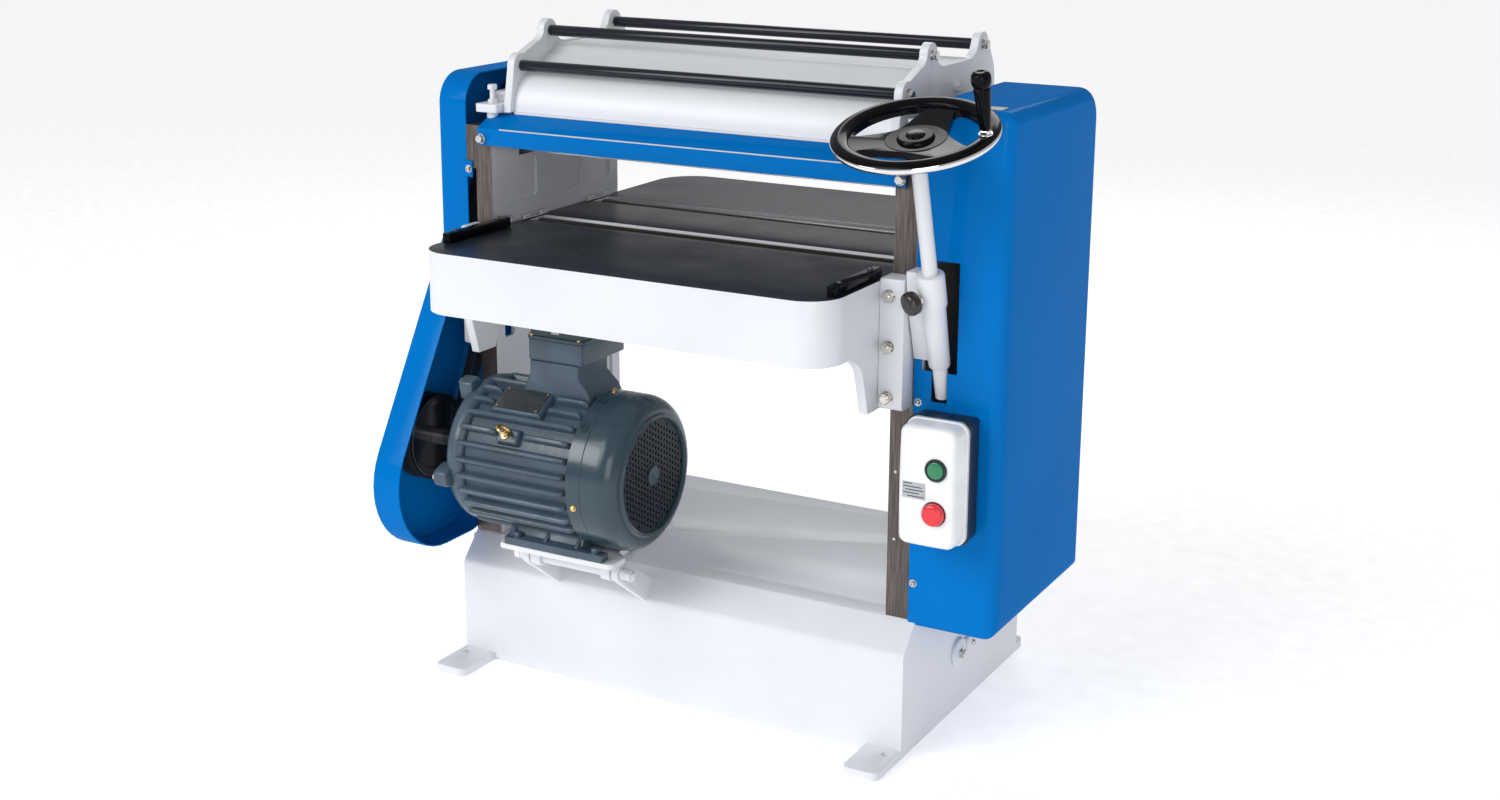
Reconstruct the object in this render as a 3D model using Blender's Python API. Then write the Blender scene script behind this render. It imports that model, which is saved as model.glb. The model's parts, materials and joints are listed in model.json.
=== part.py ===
"""A floor-standing thickness planer, modelled as separate named pieces.

Lengths are in metres.  The machine is drawn in its own coordinates: X runs to
the right, Y runs backwards from the front faces of the side frames, Z runs up
from the floor, and X = 0 is midway between the side frames.  One empty then
carries everything to the origin of the part.
"""

from math import atan2, cos, pi, radians, sin, sqrt, tan

import bmesh
import bpy
from mathutils import Matrix, Vector

# ---------------------------------------------------------------- dimensions
GAP = 0.0003                     # clearance between pieces that touch

# Side frames and base
INNER = 0.320                    # half the clear width between the side frames
FRAME_OUT = 0.3645               # outer face of a side frame
FRAME_DEPTH = 0.334
FRAME_TOP = 0.808
FRAME_WALL = 0.006               # web between the two faces of a frame
FLANGE = 0.010
BASE_FRONT = -0.0366
BASE_REAR = 0.385
BASE_KNEE = 0.1494
BASE_TOP = 0.1883
SHEET = 0.003
ANCHOR_X = 0.349                 # anchor holes through the four feet
ANCHOR_Y = (-0.054, 0.400)
ANCHOR_R = 0.006

# Table
TABLE_TOP = 0.6618
TABLE_HALF = 0.317
TABLE_FRONT = -0.1887
TABLE_REAR = 0.5197
TABLE_PLATE = 0.025
APRON = 0.0866
TABLE_WALL = 0.012
TABLE_ROLLER_R = 0.020
INFEED_Y = 0.0895
OUTFEED_Y = 0.262

# Cutterhead and feed rollers
CUT_PLANE = 0.762                # lowest point of the knives' circle
CUTTER_R = 0.050
CUTTER_Y = 0.176
CUTTER_Z = CUT_PLANE + CUTTER_R
FEED_R = 0.030
FEED_Z = CUT_PLANE + FEED_R - 0.001

# Table screws
SCREW_R = 0.008
LEFT_SCREW_X = -0.3555
RIGHT_SCREW_X = 0.3415
FRONT_SCREW_Y = 0.034
REAR_SCREW_Y = 0.300
SPROCKET_R = 0.0155
CHAIN_THICK = 0.0037
CHAIN_Z = 0.159

# Motor
MOTOR_Y = -0.070
MOTOR_Z = 0.354
MOTOR_R = 0.110
MOTOR_FOOT_Z = 0.2435
MOTOR_FOOT_HALF = 0.082
MOTOR_LEFT = -0.300
MOTOR_FINS_LEFT = -0.258
MOTOR_FINS_RIGHT = -0.080
MOTOR_RIGHT = -0.002
HINGE_Y = -0.100
HINGE_Z = 0.212
ROD_R = 0.008

# Belt drive
BELT_X = (-0.386, -0.401)
MOTOR_PULLEY_R = 0.058
CUTTER_PULLEY_R = 0.0345
BELT_WIDTH = 0.010
BELT_THICK = 0.008

# Covers
COVER_SHEET = 0.002
LEFT_COVER_X = -0.414
RIGHT_COVER_X = 0.480
COVER_FACE = 0.3648
COVER_FRONT = -0.0023

# Handwheel on its leaning shaft
WHEEL_X = 0.390
WHEEL_HUB = Vector((WHEEL_X, -0.0933, 0.8527))
WHEEL_LEAN = radians(16.8)
WHEEL_AXIS = Vector((0, -sin(WHEEL_LEAN), cos(WHEEL_LEAN)))
WHEEL_R = 0.094                  # centre line of the rim
RIM_HALF = 0.012
RIM_THICK = 0.008
RIM_RISE = 0.014                 # the rim stands this far above the hub's middle
SHAFT_R = 0.010
GEAR_R = 0.0326
SCREW_GEAR_R = 0.0150

# Switch box on the right cover
SWITCH_X = (0.366, 0.452)
SWITCH_Z = (0.325, 0.492)
SWITCH_DEEP = 0.040
LID_DEEP = 0.040
START_AT = (0.4227, 0.435)
STOP_AT = (0.4214, 0.376)
START_R = 0.0115
STOP_R = 0.015

# Hood with its three return rollers, as (y, z) of each axis
RETURN_R = 0.008
RETURN_AXES = {"front": (0.050, 0.892), "middle": (0.125, 0.936), "rear": (0.301, 0.934)}
HOOD_X = (0.300, 0.312)

RIM_LIFT = sin(WHEEL_LEAN) * (RIM_RISE + RIM_THICK * sin(pi / 8))
RIM_FRONT = WHEEL_HUB.y - RIM_LIFT - cos(WHEEL_LEAN) * (WHEEL_R + RIM_HALF)
RIM_RIGHT = WHEEL_X + WHEEL_R + RIM_HALF
ORIGIN = Vector(((LEFT_COVER_X + RIM_RIGHT) / 2, (RIM_FRONT + TABLE_REAR) / 2, 0))

COLOURS = {
    "white_paint": ((0.84, 0.85, 0.87), 0.35, 0.0),
    "blue_paint": ((0.0, 0.20, 0.58), 0.30, 0.0),
    "black_paint": ((0.02, 0.025, 0.03), 0.35, 0.0),
    "motor_paint": ((0.05, 0.09, 0.11), 0.45, 0.0),
    "table_iron": ((0.02, 0.03, 0.04), 0.30, 0.6),
    "machined_iron": ((0.09, 0.075, 0.07), 0.45, 0.6),
    "steel": ((0.55, 0.55, 0.57), 0.30, 1.0),
    "black_steel": ((0.012, 0.015, 0.022), 0.22, 0.5),
    "rubber": ((0.02, 0.02, 0.02), 0.70, 0.0),
    "black_plastic": ((0.015, 0.015, 0.016), 0.30, 0.0),
    "green_plastic": ((0.02, 0.35, 0.10), 0.30, 0.0),
    "red_plastic": ((0.60, 0.02, 0.02), 0.30, 0.0),
}

# ------------------------------------------------------------------- helpers
for leftover in list(bpy.data.objects):
    bpy.data.objects.remove(leftover, do_unlink=True)

machine = bpy.data.objects.new("machine_frame", None)
machine.location = -ORIGIN
bpy.context.scene.collection.objects.link(machine)


def paint(finish):
    """Return the named Principled material, making it on first use."""
    material = bpy.data.materials.get(finish)
    if material:
        return material
    colour, roughness, metallic = COLOURS[finish]
    material = bpy.data.materials.new(finish)
    material.use_nodes = True
    shader = material.node_tree.nodes["Principled BSDF"]
    shader.inputs["Base Color"].default_value = (*colour, 1)
    shader.inputs["Roughness"].default_value = roughness
    shader.inputs["Metallic"].default_value = metallic
    return material


def solid(name, finish, work, smooth=False):
    """Turn a bmesh into an object that hangs on the machine's empty."""
    bmesh.ops.recalc_face_normals(work, faces=work.faces)
    mesh = bpy.data.meshes.new(name)
    work.to_mesh(mesh)
    work.free()
    if smooth:
        mesh.shade_smooth()
        mesh.set_sharp_from_angle(angle=radians(35))
    body = bpy.data.objects.new(name, mesh)
    body.data.materials.append(paint(finish))
    body.parent = machine
    bpy.context.scene.collection.objects.link(body)
    return body


def skin(name, finish, rings, ends="capped", smooth=False):
    """Join rings of points into one closed body, capped or looped at its ends."""
    work = bmesh.new()
    rows = [[work.verts.new(point) for point in ring] for ring in rings]
    pairs = list(zip(rows, rows[1:]))
    if ends == "looped":
        pairs.append((rows[-1], rows[0]))
    count = len(rows[0])
    for low, high in pairs:
        for here in range(count):
            after = (here + 1) % count
            work.faces.new((low[here], low[after], high[after], high[here]))
    if ends == "capped":
        work.faces.new(rows[0])
        work.faces.new(rows[-1])
    return solid(name, finish, work, smooth)


def lift(outline, axis, level):
    """Place a flat outline at a level along an axis: X takes (y, z), Y (x, z), Z (x, y)."""
    if axis == "X":
        return [(level, a, b) for a, b in outline]
    if axis == "Y":
        return [(a, level, b) for a, b in outline]
    return [(a, b, level) for a, b in outline]


def prism(name, finish, outline, axis, low, high):
    """Extrude an outline between two levels of an axis."""
    return skin(name, finish, [lift(outline, axis, low), lift(outline, axis, high)])


def box(name, finish, xs, ys, zs):
    """A rectangular block between three pairs of limits."""
    outline = [(xs[0], ys[0]), (xs[1], ys[0]), (xs[1], ys[1]), (xs[0], ys[1])]
    return prism(name, finish, outline, "Z", zs[0], zs[1])


def around(axis):
    """The turn that takes local Z to a direction."""
    return Vector((0, 0, 1)).rotation_difference(Vector(axis)).to_matrix().to_4x4()


def turned(name, finish, at, axis, profile, segments=20, bored=False):
    """Turn a profile of (distance along the axis, radius) about an axis through a point."""
    rings = []
    for along, radius in profile:
        turn = [2 * pi * step / segments for step in range(segments)]
        rings.append([(radius * cos(a), radius * sin(a), along) for a in turn])
    ends = "looped" if bored else "capped"
    body = skin(name, finish, rings, ends, smooth=True)
    body.matrix_basis = Matrix.Translation(at) @ around(axis)
    return body


def bore(at, axis, start, end, radius, segments=16):
    """A round cutter whose flats stand clear of a shaft of the given radius."""
    reach = radius / cos(pi / segments)
    return turned("bore", "steel", at, axis, [(start, reach), (end, reach)], segments)


def rounded(corners, radii, inset=0.0, steps=5):
    """An anticlockwise outline with its corners rounded, shrunk inwards by inset."""
    count = len(corners)
    sides = []
    for here in range(count):
        a = Vector(corners[here])
        b = Vector(corners[(here + 1) % count])
        along = (b - a).normalized()
        inward = Vector((-along.y, along.x))
        sides.append((a + inward * inset, along))
    points = []
    for here in range(count):
        before, d1 = sides[here - 1]
        start, d2 = sides[here]
        cross = d1.x * d2.y - d1.y * d2.x
        reach = ((start - before).x * d2.y - (start - before).y * d2.x) / cross
        corner = before + d1 * reach
        radius = radii[here] - inset if cross > 0 else radii[here] + inset
        radius = max(radius, 0.0004)
        turn = atan2(cross, d1.dot(d2))
        tangent = radius * abs(tan(turn / 2))
        first = corner - d1 * tangent
        normal = Vector((-d1.y, d1.x)) * (1 if cross > 0 else -1)
        centre = first + normal * radius
        spoke = first - centre
        for step in range(steps + 1):
            a = turn * step / steps
            points.append((
                centre.x + spoke.x * cos(a) - spoke.y * sin(a),
                centre.y + spoke.x * sin(a) + spoke.y * cos(a),
            ))
    return points


def shell(name, finish, corners, radii, opened, closed, wall, edge):
    """A sheet cover lying in the YZ plane, open at one X level and closed at the other."""
    way = 1 if closed > opened else -1
    quarter = [pi / 2 * step / 3 for step in range(4)]
    inner_edge = edge - wall
    rings = []
    for a in reversed(quarter):
        level = closed - way * (wall + inner_edge * (1 - sin(a)))
        outline = rounded(corners, radii, wall + inner_edge * (1 - cos(a)))
        rings.append(lift(outline, "X", level))
    rings.append(lift(rounded(corners, radii, wall), "X", opened))
    rings.append(lift(rounded(corners, radii), "X", opened))
    for a in quarter:
        level = closed - way * edge * (1 - sin(a))
        rings.append(lift(rounded(corners, radii, edge * (1 - cos(a))), "X", level))
    return skin(name, finish, rings, smooth=True)


def helper(body):
    """Mark a body as a cutter or an addition, not a piece of its own."""
    body.hide_render = True
    body.display_type = "WIRE"
    return body


def combine(target, other, operation):
    """Apply a Boolean to a body and keep the other body as a guide."""
    modifier = target.modifiers.new(operation.lower(), "BOOLEAN")
    modifier.operation = operation
    modifier.solver = "EXACT"
    modifier.object = helper(other)
    return target


def cut(target, *cutters):
    for cutter in cutters:
        combine(target, cutter, "DIFFERENCE")
    return target


def fuse(target, *additions):
    for addition in additions:
        combine(target, addition, "UNION")
    return target


def arc(centre, radius, start, end, steps):
    """Points on an arc in a plane, angles in degrees."""
    found = []
    for step in range(steps + 1):
        a = radians(start + (end - start) * step / steps)
        found.append((centre[0] + radius * cos(a), centre[1] + radius * sin(a)))
    return found


def wrap(centres, radius_list, grow, steps=12):
    """The closed line that runs round several wheels, listed anticlockwise."""
    found = []
    count = len(centres)
    leave = []
    for here in range(count):
        c1 = Vector(centres[here])
        c2 = Vector(centres[(here + 1) % count])
        away = c2 - c1
        lean = (radius_list[here] - radius_list[(here + 1) % count]) / away.length
        base = atan2(away.y, away.x) - pi / 2
        leave.append(base + atan2(lean, sqrt(1 - lean * lean)))
    for here in range(count):
        start = leave[here - 1]
        end = leave[here]
        while end < start:
            end += 2 * pi
        radius = radius_list[here] + grow
        for step in range(steps + 1):
            a = start + (end - start) * step / steps
            found.append((centres[here][0] + radius * cos(a), centres[here][1] + radius * sin(a)))
    return found


def loop(name, finish, centres, radius_list, axis, low, high, inside, outside):
    """A belt or chain: a band of rectangular section round several wheels."""
    inner = wrap(centres, radius_list, inside)
    outer = wrap(centres, radius_list, outside)
    rings = [
        lift(inner, axis, low), lift(inner, axis, high),
        lift(outer, axis, high), lift(outer, axis, low),
    ]
    return skin(name, finish, rings, "looped", smooth=True)


def toothed(teeth, root, tip):
    """The outline of a wheel with square-topped teeth or fins."""
    points = []
    pitch = 2 * pi / teeth
    for tooth in range(teeth):
        middle = tooth * pitch
        for offset, radius in ((-0.32, root), (-0.18, tip), (0.18, tip), (0.32, root)):
            a = middle + offset * pitch
            points.append((radius * cos(a), radius * sin(a)))
    return points


# ---------------------------------------------------------- base and frames
def make_base():
    """Folded sheet base, open underneath, with feet and brackets for the hinge."""
    outline = [
        (BASE_FRONT, 0), (BASE_REAR, 0), (BASE_REAR, BASE_TOP), (0, BASE_TOP), (BASE_FRONT, BASE_KNEE),
    ]
    base = prism("base", "white_paint", outline, "X", -FRAME_OUT, FRAME_OUT)
    tunnel_y = (FRONT_SCREW_Y - 0.022, REAR_SCREW_Y + 0.022)
    walls_y = (tunnel_y[0] - SHEET, tunnel_y[1] + SHEET)
    tunnel = box("chain_tunnel", "white_paint", (-0.3795, -0.360), walls_y, (0.145, 0.1755))
    hollow = prism(
        "base_hollow", "white_paint",
        [(BASE_FRONT + SHEET, -0.01), (BASE_REAR - SHEET, -0.01), (BASE_REAR - SHEET, BASE_TOP - SHEET),
         (0.0013, BASE_TOP - SHEET), (BASE_FRONT + SHEET, BASE_KNEE - 0.0013)],
        "X", SHEET - FRAME_OUT, FRAME_OUT - SHEET,
    )
    feet = []
    for side in (-1, 1):
        for inner, outer in ((BASE_FRONT + 0.002, -0.068), (BASE_REAR - 0.002, 0.414)):
            xs = sorted((side * 0.312, side * 0.3645))
            feet.append(box("foot", "white_paint", xs, sorted((inner, outer)), (0, 0.012)))
    lugs = []
    for x in (-0.196, -0.046):
        profile = [(BASE_FRONT + 0.002, 0.120), (BASE_FRONT + 0.002, BASE_KNEE + 0.001), (-0.012, 0.174),
                   (HINGE_Y + 0.010, HINGE_Z + 0.0125), *arc((HINGE_Y, HINGE_Z), 0.0145, 60, 230, 7)]
        lugs.append(prism("hinge_lug", "white_paint", profile, "X", x - 0.005, x + 0.005))
    fuse(base, tunnel, *feet, *lugs)
    cut(base, hollow, box("tunnel_hollow", "white_paint", (-0.3765, -0.350), tunnel_y, (0.148, 0.1725)))
    for y in (FRONT_SCREW_Y, REAR_SCREW_Y):
        for x in (LEFT_SCREW_X, RIGHT_SCREW_X):
            cut(base, bore((x, y, 0), (0, 0, 1), 0.170, 0.200, SCREW_R + GAP))
    cut(base, bore((0, HINGE_Y, HINGE_Z), (1, 0, 0), -0.22, -0.02, ROD_R + GAP))
    for x in (-ANCHOR_X, ANCHOR_X):
        for y in ANCHOR_Y:
            cut(base, bore((x, y, 0), (0, 0, 1), -0.01, 0.02, ANCHOR_R))


def make_side_frame(side):
    """Cast side frame: pocketed outside, with slots for the table arms and the feed blocks."""
    word = "left" if side < 0 else "right"
    outer = side * FRAME_OUT
    xs = sorted((side * INNER, outer))
    frame = box(word + "_side_frame", "white_paint", xs, (0, FRAME_DEPTH), (BASE_TOP + GAP, FRAME_TOP))
    pocket_x = sorted((side * (INNER + FRAME_WALL), side * 0.380))
    through = sorted((side * 0.310, side * 0.380))
    cut(frame, box("pocket", "white_paint", pocket_x, (FLANGE, FRAME_DEPTH - FLANGE), (0.203, 0.700)))
    for y in (FRONT_SCREW_Y, REAR_SCREW_Y):
        cut(frame, box("arm_slot", "white_paint", through, (y - 0.012, y + 0.012), (0.490, 0.672)))
        x = LEFT_SCREW_X if side < 0 else RIGHT_SCREW_X
        cut(frame, bore((x, y, 0), (0, 0, 1), 0.180, 0.725, SCREW_R + GAP))
    for y in (INFEED_Y, OUTFEED_Y):
        cut(frame, box("block_slot", "white_paint", through, (y - 0.022, y + 0.022), (0.757, 0.820)))
    slot_y = (CUTTER_Y - 0.050, CUTTER_Y + 0.050)
    cut(frame, box("bearing_slot", "white_paint", through, slot_y, (0.767, 0.820)))
    if side < 0:
        cut(frame, box("screw_window", "white_paint", (-0.380, -0.348), (-0.010, 0.050), (0.203, 0.745)))


def make_cross_covers():
    """Folded cover across the front and a box-section tie across the rear."""
    outline = [
        (-0.007, 0.781), (-0.007, 0.8045), (0.0275, 0.8232), (0.0275, 0.8265),
        (-0.010, 0.8065), (-0.010, 0.781),
    ]
    cover = prism("front_cross_cover", "blue_paint", outline, "X", -0.338, 0.338)
    cover.data.shade_flat()
    corners = [(0.3345, 0.768), (0.352, 0.768), (0.352, 0.806), (0.3345, 0.806)]
    tie = rounded(corners, [0.001, 0.004, 0.004, 0.001], steps=2)
    prism("rear_cross_tie", "white_paint", tie, "X", -0.350, 0.350)


# -------------------------------------------------------------------- covers
def make_belt_guard():
    """Left guard: a box at the top and a leg that follows the belts to a round end."""
    slope = tan(radians(30))
    corners = [
        (-(0.642 - 0.190) * slope, 0.190), (0.320 - (0.716 - 0.190) * slope, 0.190),
        (0.320, 0.716), (0.320, 0.880), (0, 0.880), (0, 0.642),
    ]
    radii = [0.106, 0.060, 0.010, 0.020, 0.045, 0.008]
    shell("left_belt_guard", "blue_paint", corners, radii, -COVER_FACE, LEFT_COVER_X, COVER_SHEET, 0.006)


def make_gear_cover():
    """Right cover: a sheet box, cut out at the front for the handwheel bracket, with three tabs."""
    corners = [(COVER_FRONT, 0.182), (0.321, 0.182), (0.321, 0.887), (COVER_FRONT, 0.887)]
    cover = shell(
        "right_gear_cover", "blue_paint", corners, [0.006, 0.012, 0.045, 0.014],
        COVER_FACE, RIGHT_COVER_X, COVER_SHEET, 0.018,
    )
    for z in (0.738, 0.497, 0.243):
        tab = box("tab", "blue_paint", (0.354, 0.370), (COVER_FRONT, -GAP), (z - 0.012, z + 0.012))
        fuse(cover, tab)
    window = box("bracket_window", "blue_paint", (0.3645, 0.4145), (-0.010, 0.010), (0.541, 0.689))
    slot_x = (WHEEL_X - 0.012, WHEEL_X + 0.012)
    slot = box("shaft_slot", "blue_paint", slot_x, (-0.010, 0.010), (0.498, 0.550))
    cut(cover, window, slot)


# ---------------------------------------------------------------------- hood
def hood_outline():
    """Side plate seen from the right: three lobes that carry the return rollers."""
    front = RETURN_AXES["front"]
    middle = RETURN_AXES["middle"]
    rear = RETURN_AXES["rear"]
    back = arc((0.290, 0.880), 0.056, -40, 35, 5)
    lobes = arc(rear, 0.018, 20, 150, 6) + arc((0.255, 0.948), 0.030, -30, -90, 3)
    lobes += arc((0.165, 0.948), 0.030, -90, -150, 3) + arc(middle, 0.017, 20, 170, 6)
    lobes += arc((0.088, 0.944), 0.022, -20, -80, 3) + arc(front, 0.018, 70, 185, 6)
    return [(0.020, 0.8268), (0.330, 0.8268)] + back + lobes


def make_hood():
    """Side plates, the two bent chip covers and the three return rollers."""
    for side, word in ((-1, "left"), (1, "right")):
        xs = sorted((side * HOOD_X[0], side * HOOD_X[1]))
        plate = prism("hood_%s_plate" % word, "white_paint", hood_outline(), "X", *xs)
        cut(plate, bore((side * 0.306, CUTTER_Y, CUTTER_Z), (1, 0, 0), -0.02, 0.02, CUTTER_R + 0.003, 32))
        for y, z in RETURN_AXES.values():
            cut(plate, bore((side * 0.306, y, z), (1, 0, 0), -0.02, 0.02, 0.0045, 10))
    span = HOOD_X[0] - 0.0005
    front = [(0.0295, 0.8275)] + arc((0.086, 0.830), 0.056, 178, 118, 6) + [(0.098, 0.892), (0.118, 0.903)]
    make_bent_sheet("chip_cover_front", front, span)
    rear = [(0.1215, 0.902), (0.140, 0.916), (0.285, 0.916)] + arc((0.285, 0.870), 0.046, 80, 0, 5)
    make_bent_sheet("chip_cover_rear", rear, span)
    for word, (y, z) in RETURN_AXES.items():
        profile = [
            (-span, 0.004), (-span, RETURN_R - 0.001), (0.001 - span, RETURN_R),
            (span - 0.001, RETURN_R), (span, RETURN_R - 0.001), (span, 0.004),
        ]
        turned("return_roller_" + word, "black_steel", (0, y, z), (1, 0, 0), profile, 16, bored=True)


def make_bent_sheet(name, line, span):
    """Thicken a line in the YZ plane downwards and extrude it across the machine."""
    under = []
    for here, point in enumerate(line):
        before = Vector(line[max(here - 1, 0)])
        after = Vector(line[min(here + 1, len(line) - 1)])
        along = (after - before).normalized()
        under.append((point[0] + along.y * COVER_SHEET, point[1] - along.x * COVER_SHEET))
    return prism(name, "white_paint", line + under[::-1], "X", -span, span)


# --------------------------------------------------------------- cutterblock
def make_cutterhead():
    """Cutterblock with three knife pockets, its bearing housings and its belt pulley."""
    profile = [
        (-0.4105, 0.0125), (-0.366, 0.0125), (-0.366, 0.016), (-0.312, 0.016), (-0.312, 0.024),
        (-0.305, 0.024), (-0.305, CUTTER_R), (0.305, CUTTER_R), (0.305, 0.024), (0.312, 0.024),
        (0.312, 0.016), (0.366, 0.016), (0.366, 0.0125), (0.385, 0.0125),
    ]
    at = (0, CUTTER_Y, CUTTER_Z)
    block = turned("cutterhead", "steel", at, (1, 0, 0), profile, 24)
    for number in range(3):
        pocket = box("knife_pocket", "steel", (-0.310, 0.310), (-0.006, 0.010), (0.040, 0.060))
        turn = Matrix.Rotation(radians(40 + 120 * number), 4, "X")
        pocket.matrix_basis = Matrix.Translation(at) @ turn
        cut(block, pocket)
    for side, word in ((-1, "left"), (1, "right")):
        xs = sorted((side * (INNER + 0.001), side * (FRAME_OUT - 0.001)))
        corners = [
            (CUTTER_Y - 0.050 + GAP, 0.767 + GAP), (CUTTER_Y + 0.050 - GAP, 0.767 + GAP),
            (CUTTER_Y + 0.050 - GAP, 0.852), (CUTTER_Y - 0.050 + GAP, 0.852),
        ]
        outline = rounded(corners, [0.001, 0.001, 0.040, 0.040], steps=5)
        housing = prism("cutterhead_bearing_" + word, "machined_iron", outline, "X", *xs)
        cut(housing, bore((side * 0.342, CUTTER_Y, CUTTER_Z), (1, 0, 0), -0.05, 0.05, 0.016 + GAP))
    make_pulley("cutterhead_pulley", (CUTTER_Y, CUTTER_Z), CUTTER_PULLEY_R, 0.0125)


def make_pulley(name, at, radius, bore_radius):
    """A pulley with one groove under each belt."""
    left = min(BELT_X) - 0.0085
    right = max(BELT_X) + 0.0085
    rim = radius + BELT_THICK * 0.5
    floor = radius - 0.0016
    hole = bore_radius + 2 * GAP
    profile = [(left, hole), (left, rim)]
    for x in sorted(BELT_X):
        half = BELT_WIDTH / 2 + GAP
        profile += [(x - half, rim), (x - half, floor), (x + half, floor), (x + half, rim)]
    profile += [(right, rim), (right, hole)]
    turned(name, "machined_iron", (0, *at), (1, 0, 0), profile, 24, bored=True)


def make_belts():
    """Two belts from the motor to the cutterblock."""
    centres = [(MOTOR_Y, MOTOR_Z), (CUTTER_Y, CUTTER_Z)]
    for number, x in enumerate(BELT_X, 1):
        loop(
            "drive_belt_%d" % number, "rubber", centres, [MOTOR_PULLEY_R, CUTTER_PULLEY_R], "X",
            x - BELT_WIDTH / 2, x + BELT_WIDTH / 2, 0, BELT_THICK,
        )


# ---------------------------------------------------------------- feed works
def make_feed_works():
    """Feed rollers in floating blocks, their chain and the gearbox."""
    for word, y in (("infeed", INFEED_Y), ("outfeed", OUTFEED_Y)):
        sprocket = [
            (0.402, 0.0125), (0.402, 0.0225), (0.409, 0.0225), (0.409, 0.0125), (0.414, 0.0125),
        ]
        profile = [
            (-0.362, 0.0125), (-0.314, 0.0125), (-0.314, 0.018), (-0.308, 0.018), (-0.308, FEED_R),
            (0.308, FEED_R), (0.308, 0.018), (0.314, 0.018), (0.314, 0.0125),
        ]
        turned(word + "_roller", "steel", (0, y, FEED_Z), (1, 0, 0), profile + sprocket, 20)
        for side, hand in ((-1, "left"), (1, "right")):
            xs = sorted((side * (INNER - 0.001), side * (FRAME_OUT - 0.0015)))
            ys = (y - 0.022 + GAP, y + 0.022 - GAP)
            block = box("%s_block_%s" % (word, hand), "machined_iron", xs, ys, (0.7655, 0.819))
            cut(block, bore((side * 0.342, y, FEED_Z), (1, 0, 0), -0.05, 0.05, 0.0125 + GAP))
    low = (0.176, 0.690)
    centres = [low, (OUTFEED_Y, FEED_Z), (INFEED_Y, FEED_Z)]
    loop(
        "feed_chain", "black_steel", centres, [0.0225, 0.0225, 0.0225], "X",
        0.402, 0.409, GAP, CHAIN_THICK,
    )
    corners = [(0.120, 0.560), (0.290, 0.560), (0.290, 0.735), (0.120, 0.735)]
    outline = rounded(corners, [0.02] * 4, steps=3)
    gearbox = prism("feed_gearbox", "machined_iron", outline, "X", FRAME_OUT + GAP, 0.399)
    shaft = [(0.398, 0.0225), (0.409, 0.0225), (0.409, 0.010), (0.418, 0.010)]
    fuse(gearbox, turned("output", "steel", (0, *low), (1, 0, 0), shaft, 16))


# --------------------------------------------------------------------- table
def make_table():
    """Ribbed cast table with side webs, and slots for its two rollers."""
    corners = [
        (-TABLE_HALF, TABLE_FRONT), (TABLE_HALF, TABLE_FRONT),
        (TABLE_HALF, TABLE_REAR), (-TABLE_HALF, TABLE_REAR),
    ]
    radii = [0.050, 0.050, 0.065, 0.065]
    low = TABLE_TOP - APRON
    table = prism("table", "table_iron", rounded(corners, radii, steps=6), "Z", low, TABLE_TOP)
    hollow = prism(
        "table_hollow", "table_iron", rounded(corners, radii, TABLE_WALL, steps=6), "Z",
        low - 0.01, TABLE_TOP - TABLE_PLATE,
    )
    cut(table, hollow)
    web = [
        (-0.125, low + 0.002), (-0.090, 0.552), (-0.070, 0.520), (-0.062, 0.489), (-0.023, 0.489),
        (-0.014, 0.515), (0.004, 0.530), (0.334, 0.530), (0.362, 0.545), (0.390, low + 0.002),
        (0.390, 0.640), (-0.125, 0.640),
    ]
    for side in (-1, 1):
        xs = sorted((side * (TABLE_HALF - TABLE_WALL - 0.0008), side * (TABLE_HALF - 0.0002)))
        fuse(table, prism("side_web", "table_iron", web, "X", *xs))
    for y in (-0.075, 0.015, 0.176, 0.330, 0.420):
        rib = box("rib", "table_iron", (-0.310, 0.310), (y - 0.005, y + 0.005), (0.612, 0.640))
        fuse(table, rib)
    for y in (INFEED_Y, OUTFEED_Y):
        slot = box("roller_slot", "table_iron", (-0.3048, 0.3048), (y - 0.0215, y + 0.0215), (0.600, 0.670))
        cut(table, slot)
    for word, y in (("front", INFEED_Y), ("rear", OUTFEED_Y)):
        profile = [
            (-0.304, 0.008), (-0.299, 0.008), (-0.299, TABLE_ROLLER_R), (0.299, TABLE_ROLLER_R),
            (0.299, 0.008), (0.304, 0.008),
        ]
        at = (0, y, TABLE_TOP + 0.0003 - TABLE_ROLLER_R)
        turned("table_roller_" + word, "steel", at, (1, 0, 0), profile, 20)
    for side, word in ((-1, "left"), (1, "right")):
        xs = sorted((side * (TABLE_HALF + GAP), side * 0.352))
        box("slide_plate_" + word, "white_paint", xs, (-0.035, -GAP), (0.490, 0.666))


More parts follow.
